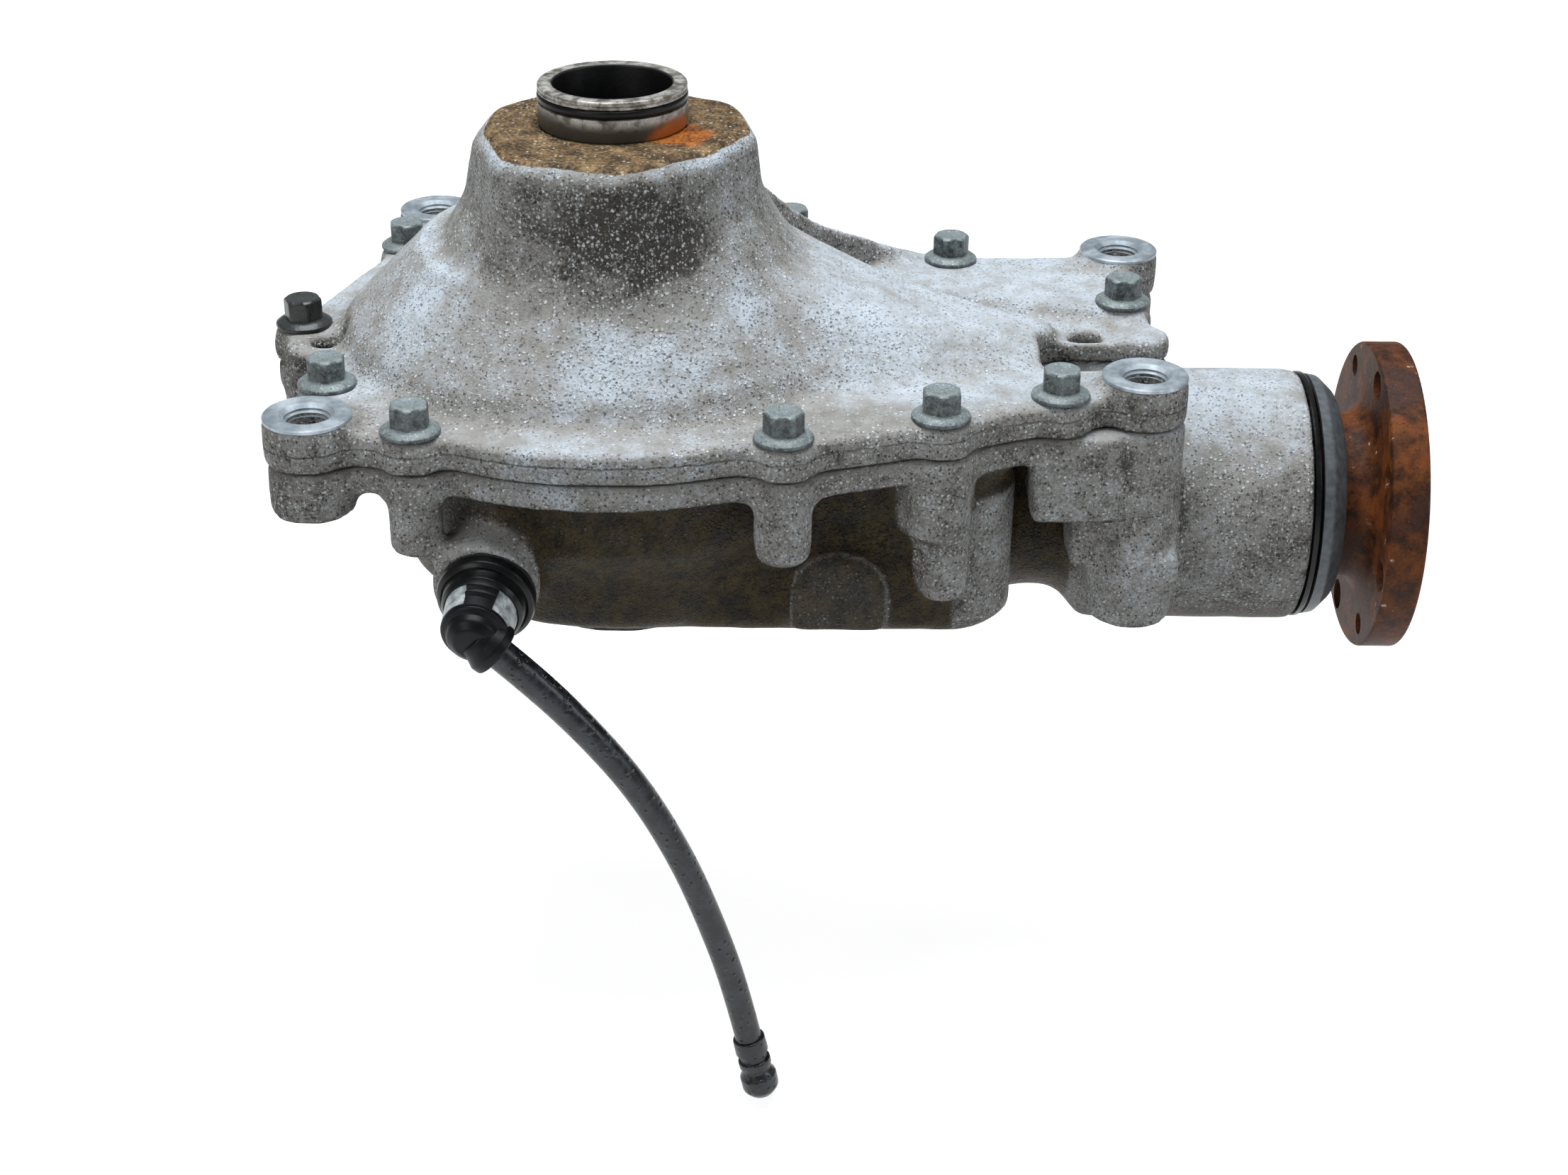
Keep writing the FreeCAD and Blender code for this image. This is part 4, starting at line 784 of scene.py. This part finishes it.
spigot = rounded([(21.5, -13.0), (26.2, -13.0), (26.2, 0.0), (27.0, 0.0), (27.0, 8.0, 0.4),
                  (24.8, 8.0, 0.3), (24.8, 11.5, 0.3), (27.0, 11.5, 0.5), (27.0, 12.2, 0.3),
                  (26.5, 12.6, 0.3), (27.0, 13.0, 0.3), (27.0, 14.5, 1.4), (21.5, 14.5, 0.9),
                  (21.5, -13.0)], 4)
spigot_foot = (0.0, 0.0, NECK_HEIGHT)
piece("spigot", [(set_on(lathe(spigot, 128), spigot_foot), False, True)], "housing",
      spigot_steel(), ("spigot_tube",), spigot_values, 35.0)
rubber = plain("black_rubber", srgb(8, 9, 10), srgb(18, 19, 21), 0.30, 0.0, 4.0, 0.05, 0.25)
ring = rounded([(24.9, 9.75), (24.9, 8.1, 0.8), (27.3, 8.1, 1.2), (27.3, 11.4, 1.2), (24.9, 11.4, 0.8),
                (24.9, 9.75)], 5)
piece("spigot_seal_ring", [(set_on(lathe(ring, 128), spigot_foot), False, True)], "housing",
      rubber, ("spigot_o_ring",))

rusted = rust()
shield_paint = plain("shield_paint", srgb(78, 83, 87), srgb(104, 109, 113), 0.45, 0.1)
for name, node, body, slot, material in (
        ("input_coupling", "input_flange", "pinion", "rusted_steel", rusted),
        ("coupling_nut", "pinion_nut", "pinion", "zinc_steel", rusted),
        ("shield", "dust_shield", "pinion", "shield_steel", shield_paint),
        ("shield_gap_ring", "shield_ring", "housing", "black_rubber", rubber)):
    dress(name, welded(node), body, material, (node,), None, 32.0)

# Breather

plastic = plain("black_plastic", srgb(9, 10, 12), srgb(20, 21, 26), 0.40, 0.0, 5.0, 0.04, 0.2)
sleeve_grey = plain("sleeve_plate", srgb(112, 120, 124), srgb(206, 212, 214), 0.45, 0.1, 4.0, 0.08)
VENT_SHIFT = 1.6
VENT_FACE = VENT_CENTRE + (VENT_SHIFT, 0.0, 0.0)


def at_vent(grid):
    """A closed-round sheet set on the breather's axis, with nothing to join along its rows."""
    return set_on(grid, VENT_FACE, VENT_AXIS), False, True


retainer = rounded([(12.9, -2.0), (17.0, -2.0), (17.6, 1.6, 1.5), (17.2, 4.4, 1.4), (15.4, 6.0, 1.0),
                    (14.9, 5.2, 0.3), (14.4, 9.6, 0.8), (13.3, 11.4, 0.5), (12.9, 11.4), (12.9, -2.0)], 4)
piece("breather_retainer", [at_vent(lathe(retainer))], "housing", rubber,
      ("vent_retainer",))
sleeve = rounded([(10.9, -18.0), (12.78, -18.0), (12.78, 11.6, 3.0), (11.9, 21.6, 0.4), (10.9, 21.6, 0.4),
                  (10.9, -18.0)], 3)
piece("breather_sleeve", [at_vent(lathe(sleeve))], "housing", sleeve_grey,
      ("vent_sleeve",))


def clip_bar(centre, half_turn):
    """Latch of the connector: a ridged profile (radius, distance out) swept over a short turn."""
    profile = np.array([(12.5, 9.0), (14.3, 9.0), (14.3, 12.6), (14.0, 13.2), (14.6, 14.0), (14.6, 14.8),
                        (13.6, 15.4), (13.4, 16.6), (14.0, 17.2), (14.0, 18.0), (13.0, 18.6), (12.6, 22.6),
                        (11.0, 22.6)])
    turn = np.radians(np.linspace(centre - half_turn, centre + half_turn, 13))[:, None]
    middle = np.broadcast_to(profile.mean(axis=0), profile.shape)

    def swept(section, turn):
        return np.stack([section[:, 0] * np.cos(turn), section[:, 0] * np.sin(turn),
                         section[:, 1] + 0.0 * turn], -1)

    return np.concatenate([swept(middle, turn[:1]), swept(profile, turn), swept(middle, turn[-1:])])


cap = rounded([(0.0, -10.0), (10.8, -10.0), (10.8, 20.6), (11.9, 20.6, 0.5), (11.9, 23.4, 1.4),
               (9.6, 24.4, 0.8), (9.0, 27.0, 3.0), (6.0, 29.4, 3.0), (0.0, 30.0)], 5)
knee = VENT_FACE + VENT_AXIS * 20.5
mouth = HOSE_ROUTE[0]
way = HOSE_ROUTE[1] - mouth
reach = mouth - knee
arm_end = float(np.linalg.norm(reach)) - 3.0
arm = rounded([(0.0, -2.0), (8.5, -2.0, 2.0), (8.3, arm_end), (0.0, arm_end)])
collar = rounded([(0.0, -9.0), (7.8, -9.0, 1.5), (8.3, -5.5, 2.0), (9.9, -2.0, 1.5), (9.7, 1.2, 0.9),
                  (6.4, 1.4, 0.5), (6.0, 0.2), (0.0, 0.2)])
elbow_parts = [at_vent(lathe(cap, 64)), at_vent(clip_bar(80.0, 23.0)),
               (set_on(lathe(arm, 48), knee, reach), False, True),
               (set_on(lathe(collar, 48), mouth, way), False, True)]
connector = piece("breather_elbow", elbow_parts, "housing", plastic,
                  ("vent_connector",), None, 50.0)

# Hose

hose_curve = bpy.data.curves.new("hose", "CURVE")
hose_curve.dimensions = "3D"
spline = hose_curve.splines.new("NURBS")
spline.points.add(len(HOSE_ROUTE) - 1)
THICKNESS = (1.14, 1.14, 1.08, 1.03, 1.0, 1.0, 1.0, 1.0)
for knot, place, thick in zip(spline.points, metres(HOSE_ROUTE), THICKNESS):
    knot.co = (*place, 1.0)
    knot.radius = thick
spline.order_u = 3
spline.use_endpoint_u = True
spline.resolution_u = 14
hose_curve.bevel_depth = HOSE_RADIUS * MM
hose_curve.bevel_resolution = 8
hose_curve.use_fill_caps = True
hose = bpy.data.objects.new("hose", hose_curve)
bpy.context.scene.collection.objects.link(hose)


def wet_rubber():
    """Glossy hose with a damp, dusty skin."""
    paint = Paint("wet_rubber")
    patch = paint.noise(6.0, 4.0, 0.7)
    drops, chance = paint.grains(2.6, paint.shaken(2.0, 1.0))
    beads = (1.0 - drops.step(0.1, 0.45)) * chance[0].step(0.45, 0.6)
    colour = paint.mix(patch.step(0.40, 0.70), srgb(16, 18, 22), srgb(52, 58, 66))
    normal = paint.bump(beads + paint.noise(1.5, 3.0, 0.6) * 0.3, 0.4)
    return paint.finish(base_color=colour, roughness=0.16 + patch * 0.25, metallic=0.0, normal=normal)


wet = wet_rubber()
hose_curve.materials.append(wet)
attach(hose, "housing")
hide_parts("breather_hose")

tail = HOSE_ROUTE[-1]
tail_way = tail - HOSE_ROUTE[-2]
end_profile = rounded([(0.0, -2.0), (6.0, -2.0, 0.6), (6.2, 4.6, 0.8), (5.0, 5.2, 0.3), (5.0, 7.6, 0.3),
                       (6.1, 8.0, 0.6), (6.1, 11.0, 0.8), (4.9, 11.8, 0.5), (5.2, 13.0, 0.5),
                       (6.9, 15.5, 2.0), (6.9, 21.0, 3.0), (4.5, 24.0, 1.5), (0.0, 24.4)], 4)
hose_tip = piece("hose_tip", [(set_on(lathe(end_profile, 48), tail, tail_way), False, True)], "housing",
                 wet, ("hose_end",), None, 50.0)

# Inner pieces keep their solids

steel = plain("gear_steel", srgb(92, 92, 94), srgb(128, 128, 130), 0.35, 0.9, 6.0, 0.03)
bright = plain("bearing_steel", srgb(150, 150, 154), srgb(186, 186, 190), 0.2, 0.95, 6.0, 0.02)
plated = plain("plated_steel", srgb(110, 116, 114), srgb(150, 156, 150), 0.4, 0.8, 4.0, 0.03)
slots = {part["node"]: part["material_slot"] for part in frame["record"]["subparts"]}
finishes = {"gear_steel": steel, "bearing_steel": bright, "zinc_steel": plated, "turned_steel": plated,
            "black_rubber": rubber, "black_plastic": plastic}
for name, shape in nodes.items():
    if slots.get(name) in finishes:
        shape.data.materials.clear()
        shape.data.materials.append(finishes[slots[name]])

# Floor, lamps and sky

floor_mesh = bpy.data.meshes.new("floor")
corners = [(x * FLOOR_REACH, y * FLOOR_REACH, FLOOR) for x, y in ((-1, -1), (1, -1), (1, 1), (-1, 1))]
floor_mesh.from_pydata(metres(corners).tolist(), [], [(0, 1, 2, 3)])
floor = bpy.data.objects.new("floor", floor_mesh)
bpy.context.scene.collection.objects.link(floor)
ground = Paint("floor")
rays = ground.tree.nodes.new("ShaderNodeLightPath")
camera_ray, glossy_ray = (Signal(ground, rays.outputs[key]) for key in ("Is Camera Ray", "Is Glossy Ray"))
seen = camera_ray.maths("MAXIMUM", camera_ray, glossy_ray)
ground.finish(base_color=(0.55, 0.55, 0.55, 1.0), roughness=0.9)
glow = ground.tree.nodes.new("ShaderNodeEmission")
glow.inputs["Color"].default_value = (0.82, 0.82, 0.82, 1.0)
ground.tree.links.new(seen.socket, glow.inputs["Strength"])
both = ground.tree.nodes.new("ShaderNodeAddShader")
ground.tree.links.new(ground.shader.outputs["BSDF"], both.inputs[0])
ground.tree.links.new(glow.outputs["Emission"], both.inputs[1])
ground.tree.links.new(both.outputs["Shader"], ground.output.inputs["Surface"])
floor_mesh.materials.append(ground.material)

world = bpy.data.worlds.new("sky")
bpy.context.scene.world = world
world.use_nodes = True
sky = world.node_tree
sky.nodes.clear()
sky_out = sky.nodes.new("ShaderNodeOutputWorld")
light_path = sky.nodes.new("ShaderNodeLightPath")
dim, white, chooser = (sky.nodes.new(kind) for kind in
                       ("ShaderNodeBackground", "ShaderNodeBackground", "ShaderNodeMixShader"))
dim.inputs["Color"].default_value = (0.94, 0.97, 1.0, 1.0)
dim.inputs["Strength"].default_value = 0.26
white.inputs["Color"].default_value = (1.0, 1.0, 1.0, 1.0)
sky.links.new(light_path.outputs["Is Camera Ray"], chooser.inputs[0])
sky.links.new(dim.outputs[0], chooser.inputs[1])
sky.links.new(white.outputs[0], chooser.inputs[2])
sky.links.new(chooser.outputs[0], sky_out.inputs["Surface"])

soft_light("overhead", (0.0, 0.15, 1.5), LIT_CENTRE, 1.2, 31.0, (0.95, 0.98, 1.0))
soft_light("front_left", (-1.0, -1.3, 0.7), LIT_CENTRE, 0.6, 5.2, (1.0, 0.98, 0.94))
soft_light("right", (1.5, -0.5, 0.5), LIT_CENTRE, 0.5, 3.0, (0.97, 0.98, 1.0))

bpy.context.scene.view_settings.view_transform = "Standard"
